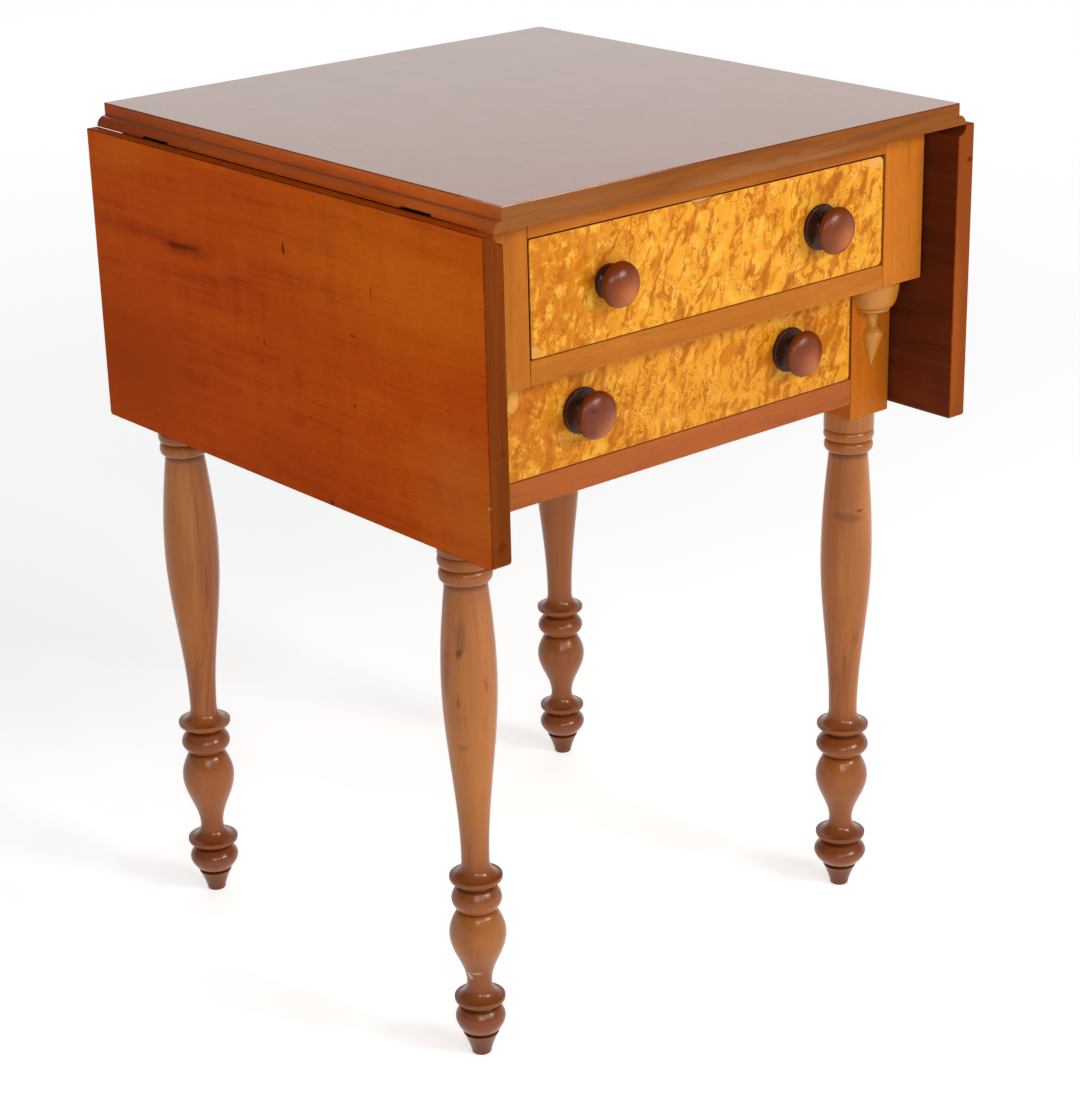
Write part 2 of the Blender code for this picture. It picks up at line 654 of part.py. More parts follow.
def make_top():
    """The fixed top, with a step and a quarter-round along both sides, let in underneath for the hinges."""
    right = [(PIN_X + x, z) for x, z in rule_arc(RULE_RADIUS, 0, 90)]
    right.append((PIN_X, BOARD_THICKNESS))
    outline = right + [(-x, z) for x, z in right[::-1]]
    mesh = extruded_mesh("top_board", outline, TOP_DEPTH)
    top = add_piece("top_board", mesh, "polished_top", (0, 0, PIN_LEVEL), FACING_FRONT)
    round_edges(top, BOARD_ARRIS)
    recess = HINGE_PLATE_THICKNESS + 2 * GLUE_LINE
    for side, sign in SIDES.items():
        for end, y in hinge_places().items():
            span = HINGE_LENGTH / 2 + GLUE_LINE
            combine(top, box_tool(
                f"top_hinge_bed_{side}_{end}",
                (sign * (PIN_X - HINGE_PLATE_REACH - GLUE_LINE), sign * (PIN_X + RULE_RADIUS + CUT_PAST)),
                (y - span, y + span), (PIN_LEVEL - CUT_PAST, PIN_LEVEL + recess)))
            combine(top, rod_tool(
                f"top_hinge_groove_{side}_{end}", HINGE_BARREL_RADIUS + PIN_PLAY, 2 * span, HINGE_SIDES,
                (sign * PIN_X, y, PIN_LEVEL), FACING_FRONT))


def make_leaf(side, sign):
    """A hanging leaf, its upper edge hollowed to swing round the quarter-round, its origin on the pin."""
    hollow = RULE_RADIUS + RULE_GAP
    lip = math.degrees(math.acos(RULE_GAP / hollow))
    outline = [(z, -x) for x, z in rule_arc(hollow, 0, lip)]
    outline += [(BOARD_THICKNESS, -RULE_GAP), (BOARD_THICKNESS, -LEAF_WIDTH), (0.0, -LEAF_WIDTH)]
    outline = [(sign * x, z) for x, z in outline]
    mesh = extruded_mesh(f"leaf_{side}", outline, TOP_DEPTH)
    leaf = add_piece(f"leaf_{side}", mesh, "cherry_leaf", (sign * PIN_X, 0, PIN_LEVEL), FACING_FRONT)
    round_edges(leaf, BOARD_ARRIS)
    for end, y in hinge_places().items():
        span = HINGE_LENGTH / 2 + GLUE_LINE
        combine(leaf, box_tool(
            f"leaf_hinge_bed_{side}_{end}",
            (sign * (PIN_X - CUT_PAST), sign * (PIN_X + HINGE_PLATE_THICKNESS + GLUE_LINE)),
            (y - span, y + span), (PIN_LEVEL - HINGE_FLAP_REACH - GLUE_LINE, PIN_LEVEL)))
    return leaf


def make_hinge(side, sign, end, y):
    """Plate under the top, flap on the leaf and their pin. The flap has the middle third of the barrel."""
    name = f"{side}_{end}"
    third = HINGE_LENGTH / 3
    around = HINGE_BARREL_RADIUS + GLUE_LINE
    pin_at = (sign * PIN_X, y, PIN_LEVEL)
    along = (y - HINGE_LENGTH / 2, y + HINGE_LENGTH / 2)
    barrel = rod_tool(
        f"hinge_barrel_{name}", HINGE_BARREL_RADIUS, HINGE_LENGTH, HINGE_SIDES, pin_at, FACING_FRONT)
    bore = rod_tool(
        f"hinge_bore_{name}", HINGE_PIN_RADIUS + PIN_PLAY, HINGE_LENGTH + CUT_PAST, HINGE_SIDES,
        pin_at, FACING_FRONT)

    plate = board(
        f"hinge_plate_{name}", (sign * (PIN_X - HINGE_PLATE_REACH), sign * PIN_X), along,
        (PIN_LEVEL, PIN_LEVEL + HINGE_PLATE_THICKNESS), "hinge_iron")
    flap = board(
        f"hinge_flap_{name}", (sign * PIN_X, sign * (PIN_X + HINGE_PLATE_THICKNESS)), along,
        (PIN_LEVEL - HINGE_FLAP_REACH, PIN_LEVEL), "hinge_iron")
    combine(plate, barrel, "UNION")
    combine(flap, barrel, "UNION")
    near_pin = (sign * (PIN_X - around), sign * (PIN_X + around))
    levels = (PIN_LEVEL - around, PIN_LEVEL + around)
    gap = GLUE_LINE / 2
    middle_third = (y - third / 2 - gap, y + third / 2 + gap)
    combine(plate, box_tool(f"hinge_plate_slot_{name}", near_pin, middle_third, levels))
    for part, direction in (("front", -1), ("back", 1)):
        outer_third = (y + direction * (third / 2 - gap), y + direction * (HINGE_LENGTH / 2 + CUT_PAST))
        combine(flap, box_tool(f"hinge_flap_{part}_slot_{name}", near_pin, outer_third, levels))
    combine(plate, bore)
    combine(flap, bore)
    pin = cylinder_mesh("hinge_pin", HINGE_PIN_RADIUS, HINGE_LENGTH, HINGE_SIDES)
    add_piece(f"hinge_pin_{name}", pin, "hinge_iron", pin_at, FACING_FRONT)
    return flap


def make_leaves():
    for side, sign in SIDES.items():
        moving = [make_hinge(side, sign, end, y) for end, y in hinge_places().items()]
        moving.append(make_leaf(side, sign))
        carry(axis_empty(f"leaf_{side}_axis", (sign * PIN_X, 0, PIN_LEVEL)), moving)


# Leaf supports

def make_fly_bracket(side, sign):
    """A rail fixed outside the side panel and an arm that swings out from it on a wooden knuckle joint."""
    near = PANEL_OUTER_X + GLUE_LINE
    across = (sign * near, sign * (near + FLY_THICKNESS))
    pivot = (sum(across) / 2, (SIDE_START_Y + SIDE_END_Y) / 2)
    low = CASE_TOP - FLY_HEIGHT
    third = FLY_HEIGHT / 3
    middle = CASE_TOP - FLY_HEIGHT / 2
    knuckle = rod_tool(f"fly_knuckle_{side}", FLY_THICKNESS / 2, FLY_HEIGHT, FLY_SIDES, (*pivot, middle))
    bore = rod_tool(f"fly_bore_{side}", FLY_PIN_RADIUS + PIN_PLAY, FLY_HEIGHT + CUT_PAST, FLY_SIDES,
                    (*pivot, middle))
    wide = (min(across) - CUT_PAST, max(across) + CUT_PAST)
    notch = (pivot[1] - FLY_KNUCKLE_NOTCH, pivot[1] + FLY_KNUCKLE_NOTCH)

    rail = board(f"fly_rail_{side}", across, (SIDE_START_Y, pivot[1]), (low, CASE_TOP), "cherry_case")
    combine(rail, knuckle, "UNION")
    middle_third = (low + third - GLUE_LINE, CASE_TOP - third + GLUE_LINE)
    combine(rail, box_tool(f"fly_rail_notch_{side}", wide, notch, middle_third))
    combine(rail, bore)

    arm = hinge_places()["back"] - HINGE_LENGTH / 2 - FLY_TIP_GAP - pivot[1]
    outline = [(0.0, 0.0), (0.0, -FLY_HEIGHT), (FLY_ROOT_LENGTH, -FLY_HEIGHT)]
    taper = ease((-FLY_HEIGHT, FLY_ROOT_LENGTH), (-FLY_TIP_HEIGHT, arm), 6)
    outline += [(along, height) for height, along in taper] + [(arm, 0.0)]
    mesh = extruded_mesh(f"fly_bracket_{side}", outline, FLY_THICKNESS)
    bracket = add_piece(f"fly_bracket_{side}", mesh, "cherry_case", (*pivot, CASE_TOP), FACING_SIDE)
    combine(bracket, knuckle, "UNION")
    notches = {"top": (CASE_TOP - third, CASE_TOP + CUT_PAST), "foot": (low - CUT_PAST, low + third)}
    for level, heights in notches.items():
        combine(bracket, box_tool(f"fly_bracket_notch_{level}_{side}", wide, notch, heights))
    combine(bracket, bore)

    pin = cylinder_mesh("fly_pin", FLY_PIN_RADIUS, FLY_HEIGHT, FLY_SIDES)
    add_piece(f"fly_pin_{side}", pin, "hinge_iron", (*pivot, middle))
    carry(axis_empty(f"fly_{side}_axis", (*pivot, middle)), [bracket])


def make_fly_brackets():
    for side, sign in SIDES.items():
        make_fly_bracket(side, sign)


clear_scene()
TABLE = new_collection("drop_leaf_side_table")
TOOLS = new_collection("cutters")
make_finishes()
make_legs()
make_case_front()
make_pendants()
make_panels()
make_runners()
make_drawers()
make_top()
make_leaves()
make_fly_brackets()
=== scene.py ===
"""Looks of a drop-leaf side table: eased boards, fine turnings, ironwork and finishes round its frame.

Metres, +Z up, the front towards -Y. The file is laid out as an add-on and is run as a script.
"""

import json
import math

import bmesh
import bpy
from mathutils import Matrix, Vector


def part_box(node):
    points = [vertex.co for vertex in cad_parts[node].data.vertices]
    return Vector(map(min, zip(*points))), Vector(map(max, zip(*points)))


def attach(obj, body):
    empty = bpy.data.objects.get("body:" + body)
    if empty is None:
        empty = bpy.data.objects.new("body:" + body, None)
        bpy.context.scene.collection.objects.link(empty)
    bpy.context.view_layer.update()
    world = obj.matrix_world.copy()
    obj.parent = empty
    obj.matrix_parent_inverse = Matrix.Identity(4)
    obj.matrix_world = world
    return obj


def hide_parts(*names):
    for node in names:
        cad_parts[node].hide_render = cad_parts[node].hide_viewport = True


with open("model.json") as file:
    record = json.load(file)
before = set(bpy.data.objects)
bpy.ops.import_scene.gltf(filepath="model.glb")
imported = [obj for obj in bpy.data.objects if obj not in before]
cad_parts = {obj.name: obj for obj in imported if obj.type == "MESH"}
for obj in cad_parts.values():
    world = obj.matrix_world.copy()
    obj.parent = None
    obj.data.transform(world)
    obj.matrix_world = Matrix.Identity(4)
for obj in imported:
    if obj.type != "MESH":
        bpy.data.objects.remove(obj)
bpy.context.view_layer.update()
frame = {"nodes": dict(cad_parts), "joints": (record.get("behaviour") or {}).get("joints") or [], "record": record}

bl_info = {
    "name": "Drop-leaf side table",
    "version": (1, 0, 0),
    "blender": (4, 5, 0),
    "location": "View3D > Sidebar > Side table",
    "description": "Dresses the frame of a drop-leaf side table with fine shapes and finishes",
    "category": "Object",
}

SIDES = {"left": -1, "right": 1}
ENDS = ("front", "back")
BODY_OF = {node: body for body, nodes in frame["record"]["behaviour"]["bodies"].items() for node in nodes}
HINGES = [joint for joint in frame["joints"] if joint["type"] == "hinge"]
PIN_OF = {joint["child"]: Vector(joint["pos_m"]) for joint in HINGES}
LEGS = [f"leg_{end}_{side}" for end in ENDS for side in SIDES]
DRAWERS = ("upper_drawer", "lower_drawer")
KNOBS = [f"{drawer}_knob_{side}" for drawer in DRAWERS for side in SIDES]
PILLAR_OF = {leg: (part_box(leg)[0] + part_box(leg)[1]) / 2 for leg in LEGS}

SHARP_ANGLE = math.radians(38)  # edges sharper than this stay crisp, or are eased on boards
FLAT_ANGLE = math.radians(0.5)
SAME_POINT = 0.000002
GROOVE_START, GROOVE_SPAN = math.radians(36), math.radians(40)  # a hollow sharper than this is painted dark, as shade
LEVEL = 0.9  # a face whose normal rises this far belongs to the polished side of the top
DOWNWARD = -0.99  # a face whose normal falls this far looks straight down
UPRIGHT = Matrix.Identity(4)
TO_FRONT = Matrix.Rotation(math.radians(90), 4, "X")  # turns an upright axis to point at -Y
X_FOR_Y = Matrix(((0, 1, 0, 0), (1, 0, 0, 0), (0, 0, 1, 0), (0, 0, 0, 1)))  # swaps the two axes

# Sizes of the fine work

SEAT_GAP = 0.0003  # between pieces that touch
RULE_GAP = 0.0003  # between the quarter-round and the hollow of a leaf
BED_DEPTH = 0.0020  # how deep the hinge plates are let into the top
BARREL_GROOVE = 0.0029  # radius of the groove for a hinge barrel
FLAP_BED_DEPTH = 0.0017  # how deep the hinge flaps are let into a leaf
SCREW_RADIUS = 0.0031
SCREW_DROP = 0.003  # the screws are laid out from this far under the middle of a flap
FLAP_SCREWS = ((-0.011, -0.010, 20), (0.011, -0.010, 115), (0.0, 0.001, 70))  # along, up, degrees of the slot
LEAF_CORNER = 0.0045  # rounding of a hanging leaf's inner lower edge
LEAF_ROUND = 0.0045  # rounding of a hanging leaf's lower corners
TAILS = 3  # dovetails at each corner of a drawer
TAIL_LAP = 0.006  # front of a drawer's board that hides its dovetails
TAIL_HALF_WIDTH = 0.0085  # half of a tail's wide end
TAIL_SLOPE = 0.2  # how fast a tail narrows on each side
VENEER_SHORT = 0.0020  # how far a drawer's veneer stops short of its right-hand end
VENEER_CORNER = {"upper_drawer": 0.005, "lower_drawer": 0.002}  # rounding at that end
VENEER_CHIP = (-0.0265, -0.0025, 0.0030)  # start, end and depth of the chip in the upper drawer's top edge
KNOB_TENON = 0.0060  # radius of the peg that goes through a drawer's front
HOLE_REACH = 0.006  # how far a knob's hole is cut to each side of the veneer's face
PLAIN_KNOB = "upper_drawer_knob_left"  # a later one, without a rose

# Each leg was turned by hand: belly and ankle radius, height of the belly, radius of the saucers and of the
# beads, how far the upper saucer, bead and vase stand above the usual place, height of the two rings, and
# height of the plain collar over them
LEG_HANDS = {
    "leg_front_left": (0.0223, 0.0114, 0.337, 0.0217, 0.0206, 0.0, 0.0235, 0.0155),
    "leg_front_right": (0.0224, 0.0126, 0.324, 0.0230, 0.0234, -0.0020, 0.0205, 0.0155),
    "leg_back_left": (0.0238, 0.0119, 0.337, 0.0233, 0.0218, 0.0070, 0.0220, 0.0095),
    "leg_back_right": (0.0230, 0.0121, 0.332, 0.0226, 0.0222, -0.0030, 0.0220, 0.0155),
}

# Where the bright back wall starts and is whole, as the cosine of the angle from straight ahead, and where
# the walls' bright foot starts to fade and is gone, as the sine of the angle above level
BACK_WALL_REACH = (0.45, 0.95)
WALL_FOOT_REACH = (0.13, 0.24)
FLOOR_REACH = 40.0  # from the middle of the floor to its edges


# Settings that a user may change

def tint(name, description, colour):
    return bpy.props.FloatVectorProperty(
        name=name, description=description, default=colour, size=3, subtype="COLOR", min=0.0, max=1.0
    )


def length(name, description, size):
    return bpy.props.FloatProperty(
        name=name, description=description, default=size, min=0.0, precision=4, unit="LENGTH"
    )


def amount(name, description, value):
    return bpy.props.FloatProperty(name=name, description=description, default=value, min=0.0)


def power(name, description, watts):
    return bpy.props.FloatProperty(name=name, description=description, default=watts, min=0.0, unit="POWER")


class SideTableColours(bpy.types.PropertyGroup):
    """Colours of the woods and the ironwork, in linear light."""

    top_shade: tint("Top shade", "Darker figure of the polished top", (0.272, 0.080, 0.021))
    top_body: tint("Top body", "Main colour of the polished top", (0.310, 0.094, 0.025))
    top_light: tint("Top light", "Lighter figure of the polished top", (0.335, 0.106, 0.030))
    edge_shade: tint("Edge shade", "Darker figure of the top's edges", (0.345, 0.049, 0.003))
    edge_body: tint("Edge body", "Main colour of the top's edges", (0.510, 0.087, 0.006))
    edge_light: tint("Edge light", "Lighter figure of the top's edges", (0.630, 0.135, 0.013))
    edge_end: tint("Edge end", "End grain of the top, along its front and back", (0.200, 0.056, 0.008))
    edge_faded: tint("Edge faded", "Paler parts of the top's front edge", (0.290, 0.125, 0.045))
    # a painted highlight along the worn front arris of the top
    edge_wear_and_highlight: tint("Edge worn", "Rubbed front arris of the top", (0.560, 0.380, 0.310))
    leaf_shade: tint("Leaf shade", "Darker figure of the leaves", (0.300, 0.034, 0.001))
    leaf_body: tint("Leaf body", "Main colour of the leaves", (0.400, 0.053, 0.001))
    leaf_light: tint("Leaf light", "Lighter figure of the leaves", (0.475, 0.073, 0.001))
    leaf_amber: tint("Leaf amber", "Amber parts of the leaves", (0.520, 0.118, 0.005))
    leaf_brown: tint("Leaf brown", "Browner part of the left leaf, near its front", (0.355, 0.085, 0.013))
    leaf_end: tint("Leaf end", "End grain of the leaves", (0.117, 0.026, 0.004))
    # drawn dark: the backs' own darker wood with painted shade
    leaf_inside_shaded: tint("Leaf inside", "Dark back of the leaves", (0.092, 0.017, 0.004))
    case_shade: tint("Case shade", "Darker figure of the stiles and rails", (0.279, 0.076, 0.008))
    case_body: tint("Case body", "Main colour of the stiles and rails", (0.376, 0.113, 0.011))
    case_light: tint("Case light", "Lighter figure of the stiles and rails", (0.454, 0.156, 0.018))
    block: tint("Blocks", "Main colour of the blocks over the legs", (0.357, 0.091, 0.006))
    low_rail: tint("Low rail", "Main colour of the lower rail", (0.325, 0.083, 0.019))
    leg_shade: tint("Leg shade", "Darker figure of the turned legs", (0.215, 0.056, 0.007))
    leg_body: tint("Leg body", "Main colour of the turned legs", (0.315, 0.094, 0.014))
    leg_light: tint("Leg light", "Lighter figure of the turned legs", (0.400, 0.138, 0.025))
    # painted light on the lit right side of the front right shaft
    leg_lit_amber: tint("Leg amber", "Amber part of the front right shaft", (0.440, 0.140, 0.012))
    leg_dark: tint("Leg dark", "Darker saucers and beads of the legs", (0.172, 0.038, 0.010))
    leg_low: tint("Leg low", "Redder low turnings of the legs", (0.218, 0.057, 0.010))
    leg_stain: tint("Leg stain", "Red stains of the front left leg", (0.240, 0.052, 0.014))
    leg_chip: tint("Leg chip", "Chips at the front left ankle", (0.500, 0.380, 0.290))
    veneer_ground: tint("Veneer ground", "Ground colour of the drawer veneer", (0.637, 0.275, 0.020))
    veneer_pale: tint("Veneer pale", "Palest figure of the drawer veneer", (0.700, 0.355, 0.042))
    veneer_flame: tint("Veneer flame", "Slanting flames of the drawer veneer", (0.440, 0.122, 0.005))
    veneer_eye: tint("Veneer eye", "Outlines of the small eyes in the veneer", (0.300, 0.062, 0.003))
    veneer_patch: tint("Veneer patch", "Old repairs in the veneer", (0.600, 0.310, 0.062))
    bare_wood: tint("Bare wood", "Chips and nicks down to bare wood", (0.560, 0.300, 0.095))
    knob_shade: tint("Knob shade", "Darker figure of the knobs", (0.085, 0.013, 0.001))
    knob_body: tint("Knob body", "Main colour of the knobs", (0.150, 0.025, 0.002))
    # painted light: warm light reflected onto the lower part of each knob's head
    knob_lit_low: tint("Knob worn", "Rubbed lower part of the knobs' heads", (0.390, 0.095, 0.011))
    rose: tint("Rose", "Roses and necks of the knobs", (0.040, 0.011, 0.006))
    pendant_shade: tint("Pendant shade", "Darker figure of the pendants", (0.270, 0.090, 0.010))
    pendant_body: tint("Pendant body", "Main colour of the pendants", (0.440, 0.172, 0.021))
    inside_shade: tint("Inside shade", "Darker figure of the wood inside", (0.300, 0.175, 0.075))
    inside_body: tint("Inside body", "Main colour of the wood inside", (0.470, 0.310, 0.150))
    iron: tint("Iron", "Bare colour of the hinges, screws and pins", (0.085, 0.072, 0.062))
    rust: tint("Rust", "Rusted colour of the hinges, screws and pins", (0.120, 0.045, 0.018))
    iron_worn: tint("Iron worn", "Rubbed edges of the ironwork", (0.220, 0.200, 0.180))


class SideTableEdges(bpy.types.PropertyGroup):
    """How far edges are eased, and how finely round work is divided."""

    top_arris: length("Top arris", "Rounding of the top's and leaves' edges", 0.0011)
    case_arris: length("Case arris", "Rounding of the case's edges", 0.0012)
    inside_arris: length("Inside arris", "Rounding of the drawer boards and runners", 0.0006)
    iron_arris: length("Iron arris", "Rounding of the hinge plates", 0.0002)
    veneer_arris: length("Veneer arris", "Rounding of the veneer's edges", 0.0004)
    turned_sides: bpy.props.IntProperty(
        name="Turned sides", description="Facets round a leg, knob or pendant", default=72, min=12
    )


class SideTableTurning(bpy.types.PropertyGroup):
    """Sizes of the legs' turned work. Heights run from the floor up."""

    turned_height: length("Turned height", "Floor to the underside of the square block", 0.4570)
    collar_radius: length("Collar radius", "Plain collar under the block", 0.0217)
    ring_radius: length("Ring radius", "Rings between the collar and the shaft", 0.0219)
    neck_radius: length("Neck radius", "Shaft just under the rings", 0.0168)
    vase_radius: length("Vase radius", "Thickest part of the vase", 0.0233)
    waist_radius: length("Waist radius", "Thinnest part of the vase", 0.0103)
    peg_radius: length("Peg radius", "Top of the foot", 0.0152)


class SideTableStudio(bpy.types.PropertyGroup):
    """Camera, floor and lights."""

    camera_place: bpy.props.FloatVectorProperty(
        name="Camera place", description="Where the camera stands", subtype="TRANSLATION", unit="LENGTH",
        default=(-1.3887, -1.6451, 1.1699), precision=4,
    )
    camera_turn: bpy.props.FloatVectorProperty(
        name="Camera turn", description="How far the camera turns right, looks down and leans",
        subtype="EULER", unit="ROTATION", default=[math.radians(a) for a in (40.277, 21.306, -1.350)],
    )
    lens: bpy.props.FloatProperty(
        name="Lens", description="Focal length over a 36 mm high frame", default=85.44, min=1.0,
        unit="CAMERA",
    )
    floor: tint("Floor", "Colour of the studio floor", (0.90, 0.90, 0.90))
    floor_glow: amount("Floor glow", "Light that the floor gives off by itself", 0.50)
    far_glow: amount("Far glow", "Light that the floor gives off further away", 0.66)
    surround: amount("Surround", "Brightness of the white walls in front and beside", 0.24)
    back_wall: amount("Back wall", "Brightness of the wall behind, which the top reflects", 1.20)
    wall_foot: amount("Wall foot", "Least brightness of the walls where they meet the floor", 1.0)
    key_power: power("Key light", "Power of the main soft light at the right", 34.0)
    front_power: power("Front light", "Power of the weak soft light between the others", 9.5)
    fill_power: power("Fill light", "Power of the broad soft light at the left", 18.5)


# Mesh work

def box_shape(low, high):
    shape = bmesh.new()
    bmesh.ops.create_cube(shape, size=1.0)
    low, high = Vector(low), Vector(high)
    bmesh.ops.scale(shape, vec=high - low, verts=shape.verts)
    bmesh.ops.translate(shape, vec=(low + high) / 2, verts=shape.verts)
    return shape


def prism_shape(outline, y_start, y_end):
    """A closed prism along Y over an outline of (x, z) points."""
    shape = bmesh.new()
    near = [shape.verts.new((x, y_start, z)) for x, z in outline]
    far = [shape.verts.new((x, y_end, z)) for x, z in outline]
    shape.faces.new(near)
    shape.faces.new(far[::-1])
    for here in range(len(outline)):
        after = (here + 1) % len(outline)
        shape.faces.new((near[here], far[here], far[after], near[after]))
    bmesh.ops.recalc_face_normals(shape, faces=shape.faces)
    return shape


def ease_edges(shape, width, segments=3, crisp=None):
    """Rounds every sharp edge but the crisp ones, and notes the rounded faces as worn for the finish, which draws
    wear there, and on the top's front arris a painted highlight and painted shade.
    """
    worn = shape.faces.layers.float.get("worn") or shape.faces.layers.float.new("worn")
    shape.normal_update()
    sharp = [edge for edge in shape.edges if edge.is_manifold and edge.calc_face_angle() > SHARP_ANGLE]
    sharp = [edge for edge in sharp if not (crisp and all(crisp(corner.co) for corner in edge.verts))]
    eased = bmesh.ops.bevel(
        shape, geom=sharp, offset=width, offset_type="OFFSET", segments=segments, profile=0.55,
        affect="EDGES", clamp_overlap=True,
    )
    for face in eased["faces"]:
        face[worn] = 1.0
    return shape


def settle(shape, name):
    """A worked shape as a smooth-shaded mesh."""
    mesh = bpy.data.meshes.new(name)
    shape.to_mesh(mesh)
    shape.free()
    if "custom_normal" in mesh.attributes:
        mesh.attributes.remove(mesh.attributes["custom_normal"])
    mesh.shade_smooth()
    mesh.set_sharp_from_angle(angle=SHARP_ANGLE)
    return mesh


def eased_board(node, width):
    """A board that fills a frame node's box, with rounded edges."""
    return settle(ease_edges(box_shape(*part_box(node)), width), node)


def eased_copy(node, width, segments=2):
    """A frame node's own shape with its sharp edges rounded."""
    shape = bmesh.new()
    shape.from_mesh(frame["nodes"][node].data)
    bmesh.ops.remove_doubles(shape, verts=shape.verts, dist=SAME_POINT)
    bmesh.ops.dissolve_limit(shape, angle_limit=FLAT_ANGLE, verts=shape.verts, edges=shape.edges)
    return settle(ease_edges(shape, width, segments), node)


def corner_turns(profile):
    """How sharply a profile turns at each point: above nought where hollow, below where it stands out."""
    turns = [0.0]
    for before, here, after in zip(profile, profile[1:], profile[2:]):
        r0, z0 = here[0] - before[0], here[1] - before[1]
        r1, z1 = after[0] - here[0], after[1] - here[1]
        turns.append(math.atan2(r0 * z1 - z0 * r1, r0 * r1 + z0 * z1))
    return turns + [0.0]


def turned_mesh(name, profile, sides, place=UPRIGHT):
    """A turning about Z from (radius, height) points, top first. Its grooves are noted for painted shade."""
    points, faces, rings, groove_shade = [], [], [], []
    for (radius, height), turn in zip(profile, corner_turns(profile)):
        count = 1 if radius < SAME_POINT else sides
        rings.append([len(points) + step for step in range(count)])
        for step in range(count):
            angle = 2 * math.pi * step / sides
            points.append((radius * math.cos(angle), radius * math.sin(angle), height))
            groove_shade.append(min(max((turn - GROOVE_START) / GROOVE_SPAN, 0.0), 1.0))
    for upper, lower in zip(rings, rings[1:]):
        for step in range(sides):
            ring = [(upper, step), (lower, step), (lower, step + 1), (upper, step + 1)]
            corners = dict.fromkeys(level[at % len(level)] for level, at in ring)
            if len(corners) > 2:
                faces.append(list(corners))
    mesh = bpy.data.meshes.new(name)
    mesh.from_pydata(points, [], faces)
    mesh.attributes.new("groove_shade", "FLOAT", "POINT").data.foreach_set("value", groove_shade)
    mesh.transform(place)
    mesh.shade_smooth()
    mesh.set_sharp_from_angle(angle=SHARP_ANGLE)
    return mesh


def rod_mesh(centre, radius, reach, sides=24):
    """A rod along Y, for cutting round holes and grooves."""
    profile = [(0.0, reach), (radius, reach), (radius, -reach), (0.0, -reach)]
    return turned_mesh("rod", profile, sides, Matrix.Translation(centre) @ TO_FRONT)


def carved(mesh, tools):
    """The mesh with every tool's shape cut out of it."""
    scene = bpy.context.scene
    blank = bpy.data.objects.new("blank", mesh)
    scene.collection.objects.link(blank)
    cutters = []
    for tool in tools:
        cutter = bpy.data.objects.new("cutter", tool)
        scene.collection.objects.link(cutter)
        cut = blank.modifiers.new("cut", "BOOLEAN")
        cut.object = cutter
        cut.solver = "EXACT"
        cutters.append(cutter)
    bpy.context.view_layer.update()
    graph = bpy.context.evaluated_depsgraph_get()
    finished = bpy.data.meshes.new_from_object(blank.evaluated_get(graph), depsgraph=graph)
    finished.name = mesh.name
    for spent in (blank, *cutters):
        bpy.data.objects.remove(spent)
    return finished


def arc(centre, radius, start, end, steps):
    """Points (x, z) on a circle, from start to end degrees up from +X."""
    angles = [math.radians(start + (end - start) * step / steps) for step in range(steps + 1)]
    return [(centre[0] + radius * math.cos(a), centre[1] + radius * math.sin(a)) for a in angles]


def add_piece(name, mesh, finish, body):
    """A new piece of the table that moves with a body of the frame."""
    piece = bpy.data.objects.new(name, mesh)
    bpy.context.scene.collection.objects.link(piece)
    mesh.materials.clear()
    mesh.materials.append(finish)
    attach(piece, body)
    return piece


def dress(node, mesh, finish, second=None, takes_second=None):
    """A piece that stands for a frame node. Wide flat faces keep flat shading beside their rounded edges.

    A second finish goes on the faces that takes_second picks.
    """
    piece = add_piece(f"{node}_dressed", mesh, finish, BODY_OF[node])
    if second:
        mesh.materials.append(second)
        for face in mesh.polygons:
            face.material_index = int(takes_second(face))
    flats = piece.modifiers.new("flat faces", "WEIGHTED_NORMAL")
    flats.keep_sharp = True
    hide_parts(node)
    return piece


# Curves of a turner's profile, each down the outer side

def joined(*runs):
    points = []
    for run in runs:
        for point in run:
            if not points or math.dist(point, points[-1]) > SAME_POINT:
                points.append(point)
    return points


def bead(seat_top, seat_bottom, radius, top, bottom, steps=12):
    """A half-round swelling between two heights."""
    points = []
    for step in range(steps + 1):
        angle = math.pi * step / steps
        seat = seat_top + (seat_bottom - seat_top) * step / steps
        height = (top + bottom) / 2 + (top - bottom) / 2 * math.cos(angle)
        points.append((seat + (radius - seat) * math.sin(angle), height))
    return points


def swell(start, end, steps):
    """Leaves start at a slope and arrives upright at end."""
    (r0, z0), (r1, z1) = start, end
    shares = [step / steps for step in range(1, steps + 1)]
    return [(r0 + (r1 - r0) * math.sin(math.pi / 2 * t), z0 + (z1 - z0) * t) for t in shares]


def ease(start, end, steps):
    """Leaves start upright, and arrives at end upright as well."""
    (r0, z0), (r1, z1) = start, end
    shares = [step / steps for step in range(1, steps + 1)]
    return [(r0 + (r1 - r0) * (1 - math.cos(math.pi * t)) / 2, z0 + (z1 - z0) * t) for t in shares]


def saucer(neck, rim):
    """A disc with a cove round its neck, a crisp rim, and an underside that turns in."""
    radius, height = rim
    cove = flare(neck, (radius - 0.0007, height + 0.0024), 14)
    lip = [(-0.0002, 0.0021), (0.0, 0.0012), (0.0, -0.0006), (-0.0005, -0.0016), (-0.0018, -0.0026)]
    return cove + [(radius + out, height + up) for out, up in lip]


def cut(place):
    """A small V-shaped groove."""
    radius, height = place
    return [(radius, height + 0.0013), (radius - 0.0015, height), (radius, height - 0.0013)]


def taper(start, end, steps, hollow):
    """Narrows from start down to end. The higher hollow is, the sooner it narrows."""
    (r0, z0), (r1, z1) = start, end
    shares = [step / steps for step in range(steps + 1)]
    return [(r1 + (r0 - r1) * (1 - t) ** hollow, z0 + (z1 - z0) * t) for t in shares]


